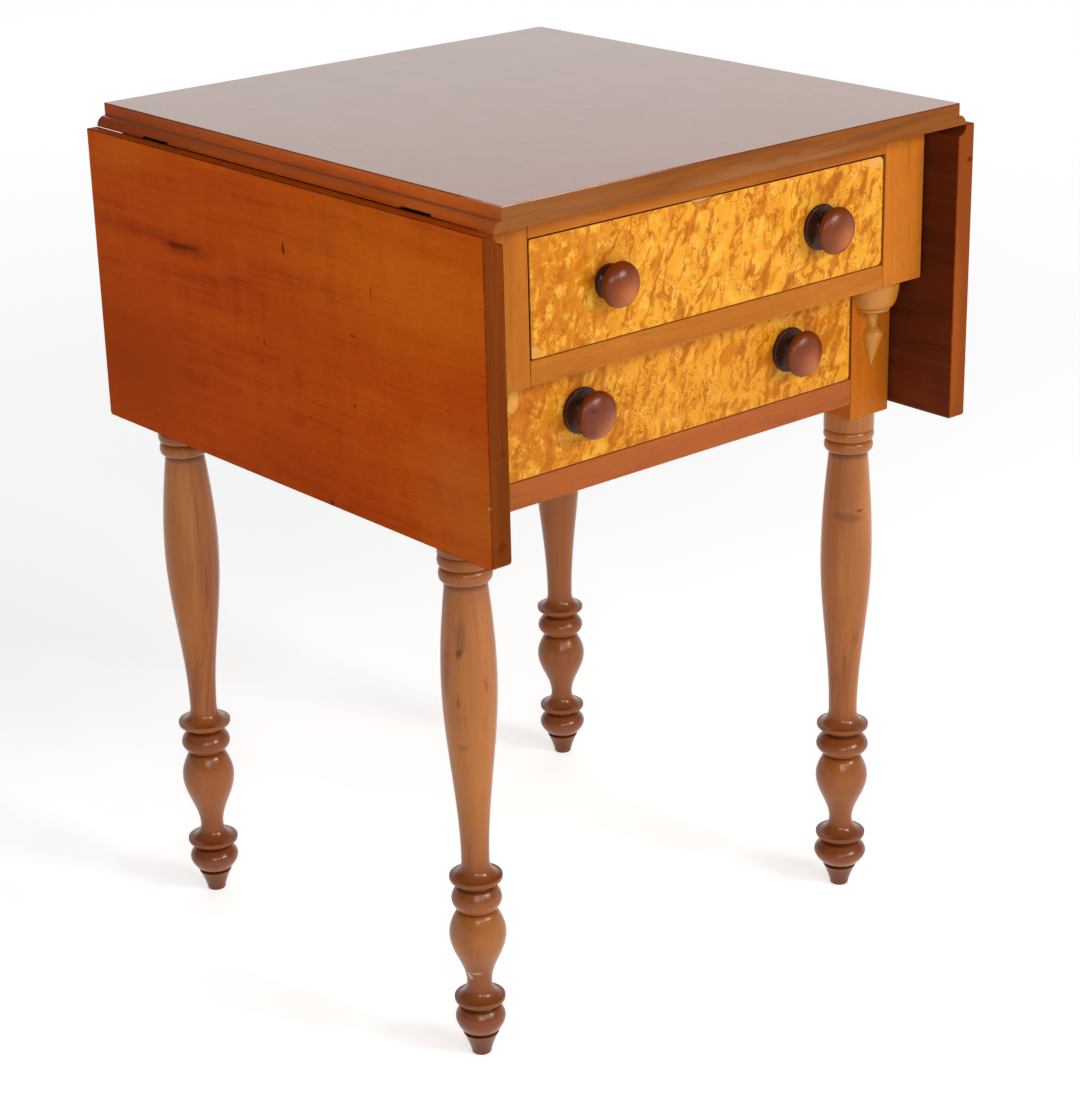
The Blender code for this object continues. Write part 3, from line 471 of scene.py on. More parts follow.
def flare(start, end, steps):
    """Leaves start upright and arrives level at end, as a cove does."""
    (r0, z0), (r1, z1) = start, end
    angles = [math.pi / 2 * step / steps for step in range(1, steps + 1)]
    return [(r0 + (r1 - r0) * (1 - math.cos(a)), z0 + (z1 - z0) * math.sin(a)) for a in angles]


def dome(radius, rim, rise, steps):
    """From the axis down to a rim."""
    angles = [math.pi / 2 * step / steps for step in range(steps + 1)]
    return [(radius * math.sin(a), rim + rise * math.cos(a)) for a in angles]


# Finishes

class Finish:
    """A material being mixed. Each method adds shader nodes and returns the socket that comes out."""

    def __init__(self, name):
        self.material = bpy.data.materials.new(name)
        self.material.use_nodes = True
        self.tree = self.material.node_tree
        self.shader = self.tree.nodes["Principled BSDF"]
        where = self.node("TexCoord")
        self.place = where.outputs["Object"]
        self.facing = where.outputs["Normal"]

    def feed(self, socket, value):
        if isinstance(value, bpy.types.NodeSocket):
            self.tree.links.new(value, socket)
        elif socket.type == "RGBA":
            socket.default_value = (*value, 1.0)
        else:
            socket.default_value = value

    def node(self, kind, inputs=None, **options):
        made = self.tree.nodes.new("ShaderNode" + kind)
        for option, value in options.items():
            setattr(made, option, value)
        for socket, value in (inputs or {}).items():
            self.feed(made.inputs[socket], value)
        return made

    def mapped(self, place, scale, turn=(0.0, 0.0, 0.0)):
        turned = self.node("Mapping", {"Vector": place, "Rotation": turn}).outputs[0]
        return self.node("Mapping", {"Vector": turned, "Scale": scale}).outputs[0]

    def noise(self, place, detail=3.0, roughness=0.55, scale=1.0):
        return self.node("TexNoise", {
            "Vector": place, "Scale": scale, "Detail": detail, "Roughness": roughness,
        }).outputs[0]

    def bent(self, place, scale, reach):
        """The place pushed about by a slow noise, so that straight grain wanders."""
        push = self.node("TexNoise", {"Vector": place, "Scale": scale, "Detail": 2.0}).outputs[1]
        even = self.node("VectorMath", {0: push, 1: (0.5, 0.5, 0.5)}, operation="SUBTRACT").outputs[0]
        pushed = {0: even, 1: (reach,) * 3, 2: place}
        return self.node("VectorMath", pushed, operation="MULTIPLY_ADD").outputs[0]

    def span(self, value, start, end, low=0.0, high=1.0):
        """From low to high as the value goes from start to end, smoothly and no further."""
        return self.node("MapRange", {
            "Value": value, "From Min": start, "From Max": end, "To Min": low, "To Max": high,
        }, interpolation_type="SMOOTHSTEP").outputs[0]

    def maths(self, operation, first, second):
        return self.node("Math", {0: first, 1: second}, operation=operation).outputs[0]

    def blended(self, *shares):
        """The sum of several values, each (value, weight)."""
        total = 0.0
        for value, weight in shares:
            total = self.node("Math", {0: value, 1: weight, 2: total}, operation="MULTIPLY_ADD").outputs[0]
        return total

    def mix(self, share, first, second, mode="MIX"):
        made = self.node("Mix", data_type="RGBA", blend_type=mode)
        self.feed(made.inputs[0], share)
        self.feed(made.inputs[6], first)
        self.feed(made.inputs[7], second)
        return made.outputs[2]

    def mark(self, place, centre, radii, core=0.35):
        """One inside an ellipsoid's core, fading to nought at its surface."""
        offset = self.node("VectorMath", {0: place, 1: centre}, operation="SUBTRACT").outputs[0]
        scaled = self.node("VectorMath", {0: offset, 1: radii}, operation="DIVIDE").outputs[0]
        reach = self.node("VectorMath", {0: scaled}, operation="LENGTH").outputs["Value"]
        return self.span(reach, 1.0, core)

    def noted(self, name):
        """What the mesh notes about each spot, such as worn edges or grooves that take painted shade."""
        return self.node("Attribute", attribute_name=name).outputs["Fac"]

    def polish(self, colour, roughness, height, depth, specular):
        """Joins everything to the shader: depth is how far the bumps reach, in metres."""
        bump = self.node("Bump", {"Strength": 0.35, "Distance": depth, "Height": height})
        self.feed(self.shader.inputs["Base Color"], colour)
        self.feed(self.shader.inputs["Roughness"], roughness)
        self.feed(self.shader.inputs["Normal"], bump.outputs[0])
        self.shader.inputs["Specular IOR Level"].default_value = specular
        return self.material


def darker(colour, share):
    return tuple(channel * share for channel in colour)


def wood(name, grain, shade, body, light, rough=(0.30, 0.44), specular=0.3, figure=0.25, end=0.55,
         streaks=0.4, marks=(), washes=(), inlay=None, end_grain=None, thin=None, edge=None, wear_and_highlight_at=None,
         relief=0.0004):
    """A polished wood whose grain runs along one axis. Figure is the share of curl across the grain.

    Marks are (centre, radii, colour, strength): stains, chips and knots. Washes are the same, but broad and
    soft. An inlay is a function that gives the share of another wood at each spot, and that wood's colour.
    End grain has growth rings across a board's thin axis. Edges are worn all along, or only near a given centre
    and within its radii, where the edge colour can be a painted highlight, and are painted dark as shade beyond
    it.
    """
    finish = Finish(name)
    bent = finish.bent(finish.place, 3.0, 0.035)

    def stretched(axis, along, across):
        return finish.mapped(bent, [along if other == axis else across for other in "XYZ"])

    clouds = finish.noise(stretched(grain, 3, 9), detail=3)
    bands = finish.noise(stretched(grain, 3.2, 62), detail=5)
    lines = finish.noise(stretched(grain, 7, 300), detail=5, roughness=0.7)
    pores = finish.noise(stretched(grain, 60, 1300), detail=2)
    curl = finish.noise(stretched(grain, 60, 20), detail=3)
    broad = 0.36 - figure / 2
    tone = finish.blended((clouds, broad), (bands, broad), (lines, 0.28), (curl, figure))
    colour = finish.mix(finish.span(tone, 0.40, 0.50), shade, body)
    colour = finish.mix(finish.span(tone, 0.50, 0.61), colour, light)
    for centre, radii, stain, strength in washes:
        patchy = finish.span(tone, 0.36, 0.60, 0.6 * strength, strength)
        share = finish.maths("MULTIPLY", finish.mark(bent, centre, radii, 0.0), patchy)
        colour = finish.mix(share, colour, stain)
    colour = finish.mix(finish.span(lines, 0.53, 0.72, 0.0, streaks), colour, darker(shade, 0.8))
    specks = finish.span(pores, 0.61, 0.72, 0.0, min(0.35, 2 * streaks))
    colour = finish.mix(specks, colour, darker(shade, 0.5))
    across = finish.node("VectorMath", {0: finish.facing, 1: [float(axis == grain) for axis in "XYZ"]},
                         operation="DOT_PRODUCT").outputs["Value"]
    cut_ends = finish.span(finish.maths("ABSOLUTE", across, 0.0), 0.55, 0.95, 0.0, end)
    ends = end_grain or darker(shade, 0.6)
    if thin:
        rings = finish.noise(stretched(thin, 300, 10), detail=5)
        ends = finish.mix(finish.span(rings, 0.38, 0.62), darker(ends, 0.84), darker(ends, 1.10))
    colour = finish.mix(cut_ends, colour, ends)
    ragged = finish.bent(finish.bent(finish.place, 30.0, 0.012), 170.0, 0.004)
    for centre, radii, stain, strength in marks:
        share = finish.maths("MULTIPLY", finish.mark(ragged, centre, radii), strength)
        colour = finish.mix(share, colour, stain)
    if inlay:
        let_in, other_wood = inlay
        colour = finish.mix(let_in(finish), colour, other_wood)
    wear = (0.5, 0.85) if edge else (0.1, 0.45)
    rubbed_and_lit = finish.span(finish.noise(finish.place, detail=4, scale=70), 0.36, 0.60, *wear)
    # painted highlight on the edges near the given corner, painted shade on the edges beyond it
    if wear_and_highlight_at:
        near = finish.mark(finish.place, *wear_and_highlight_at)
        rubbed_and_lit = finish.maths("MULTIPLY", rubbed_and_lit, near)
        painted_arris_shade = finish.maths("MULTIPLY", finish.noted("worn"), finish.span(near, 0.6, 0.0, 0.0, 0.7))
        colour = finish.mix(painted_arris_shade, colour, darker(shade, 0.35))
    colour = finish.mix(finish.maths("MULTIPLY", finish.noted("worn"), rubbed_and_lit), colour, edge or light)
    # painted shade: the grooves of the turnings are drawn dark
    colour = finish.mix(finish.maths("MULTIPLY", finish.noted("groove_shade"), 0.92), colour, darker(shade, 0.2))
    roughness = finish.span(finish.noise(finish.place, detail=3, scale=28), 0.35, 0.65, *rough)
    height = finish.maths("SUBTRACT", finish.maths("MULTIPLY", lines, 0.6), finish.span(pores, 0.58, 0.72))
    return finish.polish(colour, roughness, height, relief, specular)


def top_wood(colours):
    return wood("polished_top", "Y", colours.top_shade, colours.top_body, colours.top_light,
                rough=(0.17, 0.19), specular=0.5, figure=0.0, streaks=0.12, relief=0.00004)


def top_edge_wood(colours):
    """The top's edges and rule joints, and its underside."""
    low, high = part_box("top_board")
    faded = [((low.x + 0.02, low.y, low.z), (0.16, 0.03, 0.06), colours.edge_faded, 0.25),
             ((0.02, low.y, low.z), (0.14, 0.03, 0.012), colours.edge_faded, 0.5)]
    sides = [((low.x, high.y, low.z), (0.08, 0.34, 0.08), darker(colours.edge_shade, 0.85), 1.0),
             ((low.x, -0.185, low.z), (0.06, 0.07, 0.06), colours.edge_light, 0.7)]
    # a painted highlight along the worn front arris near the front left corner, painted shade along the arrises
    # beyond
    highlit_corner = ((low.x, low.y, high.z), (0.22, 0.05, 0.05))
    return wood("cherry_top_edge", "Y", colours.edge_shade, colours.edge_body, colours.edge_light,
                rough=(0.32, 0.42), specular=0.05, figure=0.04, end=1.0, end_grain=colours.edge_end, thin="Z",
                edge=colours.edge_wear_and_highlight, marks=faded, washes=sides, wear_and_highlight_at=highlit_corner)


def leaf_wood(colours):
    """The leaves' red cherry, with the marks on the left leaf's face and on both leaves' front ends, where the
    right leaf's end is painted lighter, as lit.
    """
    near_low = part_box("leaf_left")[0]
    far_low, far_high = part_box("leaf_right")
    far_middle = (far_low + far_high) / 2
    dark, dim = darker(colours.leaf_shade, 0.3), darker(colours.leaf_shade, 0.85)
    amber, brown = colours.leaf_amber, colours.leaf_brown
    spots = (
        ((0.118, 0.633), (0.048, 0.0085), dim, 0.70),
        ((0.126, 0.634), (0.030, 0.0034), dark, 0.75),
        ((0.195, 0.6375), (0.024, 0.006), colours.leaf_shade, 0.7),
        ((-0.0176, 0.657), (0.0022, 0.0085), dark, 0.9),
        ((-0.125, 0.646), (0.0016, 0.0100), dark, 0.55),
        ((-0.101, 0.6064), (0.004, 0.0016), dark, 0.9),
        ((0.016, 0.5768), (0.0016, 0.0040), dark, 0.8),
        ((0.025, 0.5785), (0.0016, 0.0036), dark, 0.7),
        ((-0.098, 0.5498), (0.0030, 0.0020), dark, 0.8),
        ((-0.042, 0.5295), (0.0040, 0.0016), dark, 0.6),
        ((-0.064, 0.4630), (0.0040, 0.0030), dark, 0.9),
    )
    parts = (
        ((-0.160, 0.665), (0.260, 0.085), amber, 0.80),
        ((-0.240, 0.500), (0.130, 0.080), amber, 0.55),
        ((0.215, 0.700), (0.110, 0.035), amber, 0.45),
        ((0.220, 0.520), (0.200, 0.100), dim, 0.75),
        ((-0.022, 0.481), (0.170, 0.050), dim, 0.45),
        ((-0.235, 0.505), (0.075, 0.090), brown, 0.65),
    )
    ends = (
        ((-0.2470, near_low.y, 0.5505), (0.0040, 0.010, 0.0050), dark, 0.45),
        ((-0.2496, near_low.y, 0.4790), (0.0050, 0.010, 0.0060), dark, 0.55),
        ((-0.2585, near_low.y, 0.5090), (0.0014, 0.010, 0.0014), colours.bare_wood, 0.9),
        # painted light: the right leaf's front end is drawn lighter than the left's, which stands in shade
        ((far_middle.x, far_low.y, far_middle.z), (0.03, 0.008, 0.30), darker(colours.leaf_end, 1.87), 0.9),
        ((far_low.x, far_low.y, far_low.z + 0.080), (0.014, 0.008, 0.120), brown, 0.35),
        ((far_high.x - 0.0050, far_low.y, far_high.z - 0.029), (0.0048, 0.010, 0.0030), dark, 0.85),
    )

    def on_face(places, depth):
        return [((near_low.x, *centre), (depth, *radii), stain, strength)
                for centre, radii, stain, strength in places]

    return wood("cherry_leaf", "Y", colours.leaf_shade, colours.leaf_body, colours.leaf_light,
                rough=(0.30, 0.42), specular=0.01, figure=0.16, end=0.9, streaks=0.18,
                marks=(*on_face(spots, 0.012), *ends), washes=on_face(parts, 0.060),
                end_grain=colours.leaf_end, thin="X", edge=darker(colours.leaf_shade, 0.45))


def leaf_back_wood(colours):
    """The leaves' backs and the hollows of their rule joints, drawn dark: the backs' darker unpolished wood with
    painted shade, and painted shade in the hollows.
    """
    dark = colours.leaf_inside_shaded
    return wood("cherry_leaf_back_and_shade", "Y", darker(dark, 0.7), dark, darker(dark, 1.4),
                rough=(0.45, 0.60), specular=0.04, figure=0.03)


def case_wood(colours, name, grain, body=None, **more):
    """The case's cherry, or a board of it with another body colour."""
    shades = (colours.case_shade, colours.case_body, colours.case_light)
    if body:
        shades = (darker(body, 0.75), body, darker(body, 1.2))
    return wood(name, grain, *shades, specular=0.05, figure=0.08, **more)


def front_wood(colours, drawer, marks=()):
    """The board of a drawer's front, drawn dark as painted shade in the gaps round the veneer, with the tails of
    the sides' dovetails in its two ends.
    """
    low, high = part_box(f"{drawer}_front")
    pitch = (high.z - low.z) / TAILS

    def tails(finish):
        where = finish.node("SeparateXYZ", {"Vector": finish.place}).outputs
        depth = finish.maths("SUBTRACT", where["Y"], low.y + TAIL_LAP)
        aside = finish.maths("PINGPONG", finish.maths("SUBTRACT", where["Z"], low.z + pitch / 2), pitch / 2)
        half_width = finish.node("Math", {0: depth, 1: -TAIL_SLOPE, 2: TAIL_HALF_WIDTH},
                                 operation="MULTIPLY_ADD").outputs[0]
        across = finish.node("SeparateXYZ", {"Vector": finish.facing}).outputs["X"]
        share = finish.maths("LESS_THAN", aside, half_width)
        share = finish.maths("MULTIPLY", share, finish.maths("GREATER_THAN", depth, 0.0))
        return finish.maths("MULTIPLY", share, finish.span(finish.maths("ABSOLUTE", across, 0.0), 0.7, 0.9))

    # painted shade: the board is drawn dark so that the gaps round the veneer look dark
    return case_wood(colours, f"{drawer}_stained_front", "X", darker(colours.case_shade, 0.32), marks=marks,
                     inlay=(tails, darker(colours.inside_body, 0.8)))


def leg_wood(colours):
    """The turned legs' brown cherry, with the stains down the front left shaft, and painted light and painted
    shade on the front right shaft.
    """
    dark, red, chip = darker(colours.leg_shade, 0.22), colours.leg_stain, colours.leg_chip
    left, right = PILLAR_OF["leg_front_left"], PILLAR_OF["leg_front_right"]
    wide = 2.0  # takes in all four legs
    parts = (
        ((0.0, 0.0, 0.0), (wide, wide, 0.26), colours.leg_low, 1.0),
        ((0.0, 0.0, 0.153), (wide, wide, 0.034), colours.leg_dark, 0.9),
        ((0.0, 0.0, 0.042), (wide, wide, 0.034), colours.leg_dark, 0.9),
        ((left.x, left.y, 0.112), (0.08, 0.08, 0.045), colours.leg_light, 0.7),
        # painted light on the right side of the front right shaft, painted shade on its left side
        ((right.x + 0.020, right.y - 0.020, 0.385), (0.035, 0.035, 0.080), colours.leg_lit_amber, 0.9),
        ((right.x - 0.022, right.y - 0.010, 0.400), (0.030, 0.030, 0.100), colours.leg_shade, 0.8),
        ((left.x, left.y, 0.290), (0.08, 0.08, 0.130), colours.leg_light, 0.9),
        ((left.x, left.y, 0.440), (0.08, 0.08, 0.055), colours.leg_low, 1.0),
        ((*PILLAR_OF["leg_back_left"].xy, 0.450), (0.08, 0.08, 0.050), colours.leg_low, 0.9),
        ((*PILLAR_OF["leg_back_right"].xy, 0.300), (0.10, 0.10, 0.700), colours.leg_low, 0.8),
    )
    stains = (
        ((0.0, 0.0, 0.0), (wide, wide, 0.030), darker(colours.leg_low, 0.48), 0.8),
        ((-0.2241, -0.1733, 0.0765), (0.0030, 0.0030, 0.0040), chip, 0.85),
        ((-0.2206, -0.1786, 0.0800), (0.0050, 0.0050, 0.0018), chip, 0.6),
        ((-0.2308, -0.1818, 0.376), (0.006, 0.006, 0.026), dark, 0.40),
        ((-0.2312, -0.1814, 0.362), (0.004, 0.004, 0.008), dark, 0.70),
        ((-0.2348, -0.1691, 0.348), (0.006, 0.006, 0.032), red, 0.75),
        ((-0.2319, -0.1803, 0.3258), (0.0028, 0.0028, 0.010), dark, 0.7),
        ((-0.2151, -0.1907, 0.3367), (0.0035, 0.0035, 0.012), red, 0.7),
        ((-0.2313, -0.1811, 0.2849), (0.008, 0.008, 0.004), dark, 0.3),
        ((-0.2278, -0.1853, 0.2576), (0.0030, 0.0030, 0.018), dark, 0.8),
        ((0.1986, -0.1847, 0.3652), (0.022, 0.022, 0.0065), dark, 0.38),
        ((0.2080, -0.1900, 0.3730), (0.0046, 0.0046, 0.0020), dark, 0.8),
    )
    return wood("turned_leg", "Z", colours.leg_shade, colours.leg_body, colours.leg_light,
                rough=(0.16, 0.23), specular=0.33, figure=0.03, end=0.0, streaks=0.45,
                marks=stains, washes=parts, relief=0.0001)


def inside_wood(colours, name, grain):
    return wood(name, grain, colours.inside_shade, colours.inside_body, colours.inside_body,
                rough=(0.55, 0.75), specular=0.15, figure=0.0, end=0.3)


def pendant_wood(colours):
    return wood("pendant_wood", "Z", colours.pendant_shade, colours.pendant_body, colours.pendant_body,
                rough=(0.22, 0.32), specular=0.3, figure=0.0, end=0.3, streaks=0.45)


def knob_wood(colours):
    """The knobs' dark wood, painted lighter low on each head, as warm light reflected up from the drawer front."""
    rubbed_and_lit = []
    for knob in KNOBS:
        low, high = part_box(knob)
        lit_spot = ((low.x + high.x) / 2 + 0.004, low.y, (low.z + high.z) / 2 - 0.009)
        rubbed_and_lit.append((lit_spot, (0.021, 0.040, 0.019), colours.knob_lit_low, 1.0))
    return wood("knob_wood", "Y", colours.knob_shade, colours.knob_body, colours.knob_body,
                rough=(0.22, 0.30), specular=0.27, figure=0.0, end=0.0, streaks=0.3,
                washes=rubbed_and_lit, relief=0.0001)


def rose_wood(colours):
    return wood("knob_rose_wood", "X", darker(colours.rose, 0.6), colours.rose, darker(colours.rose, 1.6),
                rough=(0.20, 0.30), specular=0.20, figure=0.0, end=0.0, streaks=0.3)


def birdseye_veneer(colours):
    """Golden maple veneer with slanting flames, squiggles and small ringed eyes."""
    finish = Finish("birdseye_veneer")
    lean = (0.0, math.radians(-28), 0.0)
    upright = (0.0, math.radians(-9), 0.0)

    def contours(value, width):
        """Thin curved lines where a noise crosses its middle."""
        offset = finish.maths("ABSOLUTE", finish.maths("SUBTRACT", value, 0.5), 0.0)
        return finish.span(offset, width, width / 4)

    ragged = finish.bent(finish.bent(finish.place, 55.0, 0.010), 210.0, 0.004)
    flames = finish.noise(finish.mapped(ragged, (85, 85, 34), lean), detail=3, roughness=0.5)
    licks = finish.noise(finish.mapped(ragged, (150, 150, 62), upright), detail=2, roughness=0.5)
    curves = finish.noise(finish.mapped(ragged, (60, 60, 24), lean), detail=1)
    crowd = finish.noise(finish.mapped(finish.place, (55, 55, 40), lean), detail=2)
    mottle = finish.noise(ragged, detail=4, scale=75, roughness=0.6)
    grain = finish.noise(finish.mapped(finish.place, (900, 900, 420), lean), detail=3)
    flame = colours.veneer_flame
    colour = finish.mix(finish.span(mottle, 0.48, 0.64), colours.veneer_ground, colours.veneer_pale)
    colour = finish.mix(finish.span(licks, 0.55, 0.62, 0.0, 0.6), colour, flame)
    colour = finish.mix(finish.span(flames, 0.54, 0.60, 0.0, 0.8), colour, flame)
    colour = finish.mix(finish.span(flames, 0.61, 0.67, 0.0, 0.6), colour, darker(flame, 0.66))
    strokes = finish.maths("MULTIPLY", contours(curves, 0.034), finish.span(licks, 0.38, 0.54, 0.0, 0.8))
    colour = finish.mix(strokes, colour, darker(flame, 0.80))
    colour = finish.mix(finish.span(grain, 0.48, 0.70, 0.0, 0.2), colour, flame)
    where = finish.node("SeparateXYZ", {"Vector": ragged}).outputs
    # painted shade: the veneer darkens towards its left end, where the leaf shades it
    leftward = finish.span(where["X"], -0.07, -0.17, 0.0, 0.8)
    painted_left_shade = finish.maths("MULTIPLY", leftward, finish.span(mottle, 0.64, 0.42))
    colour = finish.mix(painted_left_shade, colour, flame)
    colour = finish.mix(finish.span(where["Z"], 0.600, 0.580, 0.0, 0.18), colour, flame)

    curls = finish.noise(ragged, detail=1, scale=240)
    squiggles = finish.maths("MULTIPLY", contours(curls, 0.035), finish.span(crowd, 0.50, 0.57, 0.0, 0.70))
    colour = finish.mix(squiggles, colour, colours.veneer_eye)

    cells = finish.node("TexVoronoi", {"Vector": ragged, "Scale": 235.0, "Randomness": 0.95})
    reach = cells.outputs["Distance"]
    rings = finish.maths("MULTIPLY", finish.span(reach, 0.15, 0.30), finish.span(reach, 0.48, 0.32))
    pick = finish.node("SeparateColor", {"Color": cells.outputs["Color"]}).outputs[0]
    chosen = finish.maths("MULTIPLY", finish.span(pick, 0.60, 0.64), finish.span(crowd, 0.47, 0.55))
    eyes = finish.maths("MULTIPLY", rings, chosen)
    colour = finish.mix(finish.maths("MULTIPLY", eyes, 0.55), colour, colours.veneer_eye)

    upper_low, upper_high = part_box("upper_drawer_veneer")
    lower_low, lower_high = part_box("lower_drawer_veneer")
    patches = (
        ((upper_high.x - 0.010, upper_low.y, upper_high.z - 0.002), (0.0115, 0.01, 0.0075), 0.9),
        ((upper_low.x + 0.003, upper_low.y, upper_low.z + 0.004), (0.006, 0.01, 0.006), 0.7),
        ((lower_low.x + 0.007, lower_low.y, lower_high.z - 0.019), (0.007, 0.01, 0.011), 0.75),
    )
    for centre, radii, strength in patches:
        share = finish.maths("MULTIPLY", finish.mark(finish.place, centre, radii, 0.85), strength)
        colour = finish.mix(share, colour, colours.veneer_patch)
    # worn edges drawn pale: wear, with a painted highlight along them
    rubbed_and_lit = finish.maths("MULTIPLY", finish.noted("worn"), 0.5)
    colour = finish.mix(rubbed_and_lit, colour, colours.veneer_patch)
    roughness = finish.span(mottle, 0.35, 0.65, 0.26, 0.40)
    return finish.polish(colour, roughness, finish.maths("ADD", mottle, eyes), 0.0002, 0.06)


def aged_iron(colours):
    finish = Finish("hinge_iron")
    patches = finish.noise(finish.place, detail=5, scale=160, roughness=0.65)
    pits = finish.noise(finish.place, detail=3, scale=900)
    colour = finish.mix(finish.span(patches, 0.42, 0.62), colours.iron, colours.rust)
    colour = finish.mix(finish.maths("MULTIPLY", finish.noted("worn"), 0.6), colour, colours.iron_worn)
    finish.feed(finish.shader.inputs["Metallic"], finish.span(patches, 0.48, 0.64, 0.9, 0.15))
    return finish.polish(colour, finish.span(patches, 0.4, 0.65, 0.42, 0.78), pits, 0.0003, 0.5)


def studio_floor(settings):
    finish = Finish("studio_floor")
    cloud = finish.noise(finish.place, detail=2, scale=1.3)
    colour = finish.mix(finish.span(cloud, 0.3, 0.7), settings.floor, darker(settings.floor, 0.985))
    grain = finish.noise(finish.place, detail=2, scale=300)
    finish.shader.inputs["Emission Color"].default_value = (1.0, 1.0, 1.0, 1.0)
    away = finish.node("VectorMath", {0: finish.place}, operation="LENGTH").outputs["Value"]
    glow = finish.span(away, 0.8, 4.0, settings.floor_glow, settings.far_glow)
    finish.feed(finish.shader.inputs["Emission Strength"], glow)
    return finish.polish(colour, finish.span(cloud, 0.3, 0.7, 0.75, 0.85), grain, 0.0001, 0.0)


def studio_walls(settings):
    """White walls all round, brightest behind the table and low down, where they meet the floor."""
    world = bpy.data.worlds.new("studio_walls")
    world.use_nodes = True
    nodes, links = world.node_tree.nodes, world.node_tree.links

    def ramp(value, start, end, low, high):
        """From low to high as the value goes from start to end, smoothly and no further."""
        made = nodes.new("ShaderNodeMapRange")
        made.interpolation_type = "SMOOTHSTEP"
        links.new(value, made.inputs["Value"])
        levels = {"From Min": start, "From Max": end, "To Min": low, "To Max": high}
        for socket, level in levels.items():
            made.inputs[socket].default_value = level
        return made.outputs[0]

    way = nodes.new("ShaderNodeTexCoord").outputs["Generated"]
    ahead = nodes.new("ShaderNodeVectorMath")
    ahead.operation = "DOT_PRODUCT"
    turn = settings.camera_turn[0]
    ahead.inputs[1].default_value = (math.sin(turn), math.cos(turn), 0.0)
    links.new(way, ahead.inputs[0])
    height = nodes.new("ShaderNodeSeparateXYZ")
    links.new(way, height.inputs[0])
    wall = ramp(ahead.outputs["Value"], *BACK_WALL_REACH, settings.surround, settings.back_wall)
    foot = ramp(height.outputs["Z"], *WALL_FOOT_REACH, settings.wall_foot, 0.0)
    brighter = nodes.new("ShaderNodeMath")
    brighter.operation = "MAXIMUM"
    links.new(wall, brighter.inputs[0])
    links.new(foot, brighter.inputs[1])
    links.new(brighter.outputs[0], nodes["Background"].inputs["Strength"])
    nodes["Background"].inputs["Color"].default_value = (1.0, 1.0, 1.0, 1.0)
    return world


# Shapes of the pieces

def top_mesh(edges):
    """The fixed top with its rule joints, let in underneath for the four hinges."""
    low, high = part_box("top_board")
    pin_x = PIN_OF["leaf_right"].x
    radius = high.x - pin_x
    right = arc((pin_x, low.z), radius, 0, 90, 14) + [(pin_x, high.z)]
    outline = right + [(-x, z) for x, z in right[::-1]]

    def closes(point):
        return abs(point.x) > high.x - SAME_POINT and point.z < low.z + SAME_POINT

    blank = prism_shape(outline, low.y, high.y)
    board = settle(ease_edges(blank, edges.top_arris, 4, closes), "top_board")
    tools = []
    for side, sign in SIDES.items():
        for end in ENDS:
            plate_low, plate_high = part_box(f"hinge_plate_{side}_{end}")
            pin_low, pin_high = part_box(f"hinge_pin_{side}_{end}")
            gap = Vector((SEAT_GAP,) * 3)
            bed_low, bed_high = plate_low - gap, plate_high.copy() + gap
            bed_high.z = low.z + edges.iron_arris + BED_DEPTH
            if sign > 0:
                bed_high.x = high.x + SEAT_GAP
            else:
                bed_low.x = low.x - SEAT_GAP
            tools.append(settle(box_shape(bed_low, bed_high), "bed"))
            middle = (pin_low + pin_high) / 2
            tools.append(rod_mesh(middle, BARREL_GROOVE, (pin_high.y - pin_low.y) / 2 + SEAT_GAP))
    mesh = carved(board, tools)
    # Only the upper arrises along the front and the sides take the worn mask: a painted highlight with wear near
    # the front left corner, and painted shade beyond it
    for face, worn in zip(mesh.polygons, mesh.attributes["worn"].data):
        near_edge = face.center.y < low.y + edges.top_arris or abs(face.center.x) > pin_x - edges.top_arris
        near_upper = face.center.z > high.z - edges.top_arris and face.normal.z < LEVEL
        worn.value = float(near_edge and near_upper)
    return mesh


def corner_tool(y, z, inwards, x_start, x_end):
    """Cuts a lower corner of a leaf round. It runs along X, past both faces."""
    start, end = (180, 270) if inwards > 0 else (0, -90)
    inner_y, upper_z = y + inwards * LEAF_ROUND, z + LEAF_ROUND
    outer_y, lower_z = y - inwards * LEAF_ROUND, z - LEAF_ROUND
    curve = arc((inner_y, upper_z), LEAF_ROUND, start, end, 6)
    outline = curve + [(inner_y, lower_z), (outer_y, lower_z), (outer_y, upper_z)]
    tool = settle(prism_shape(outline, x_start - LEAF_ROUND, x_end + LEAF_ROUND), "corner")
    tool.transform(X_FOR_Y)
    tool.flip_normals()
    return tool


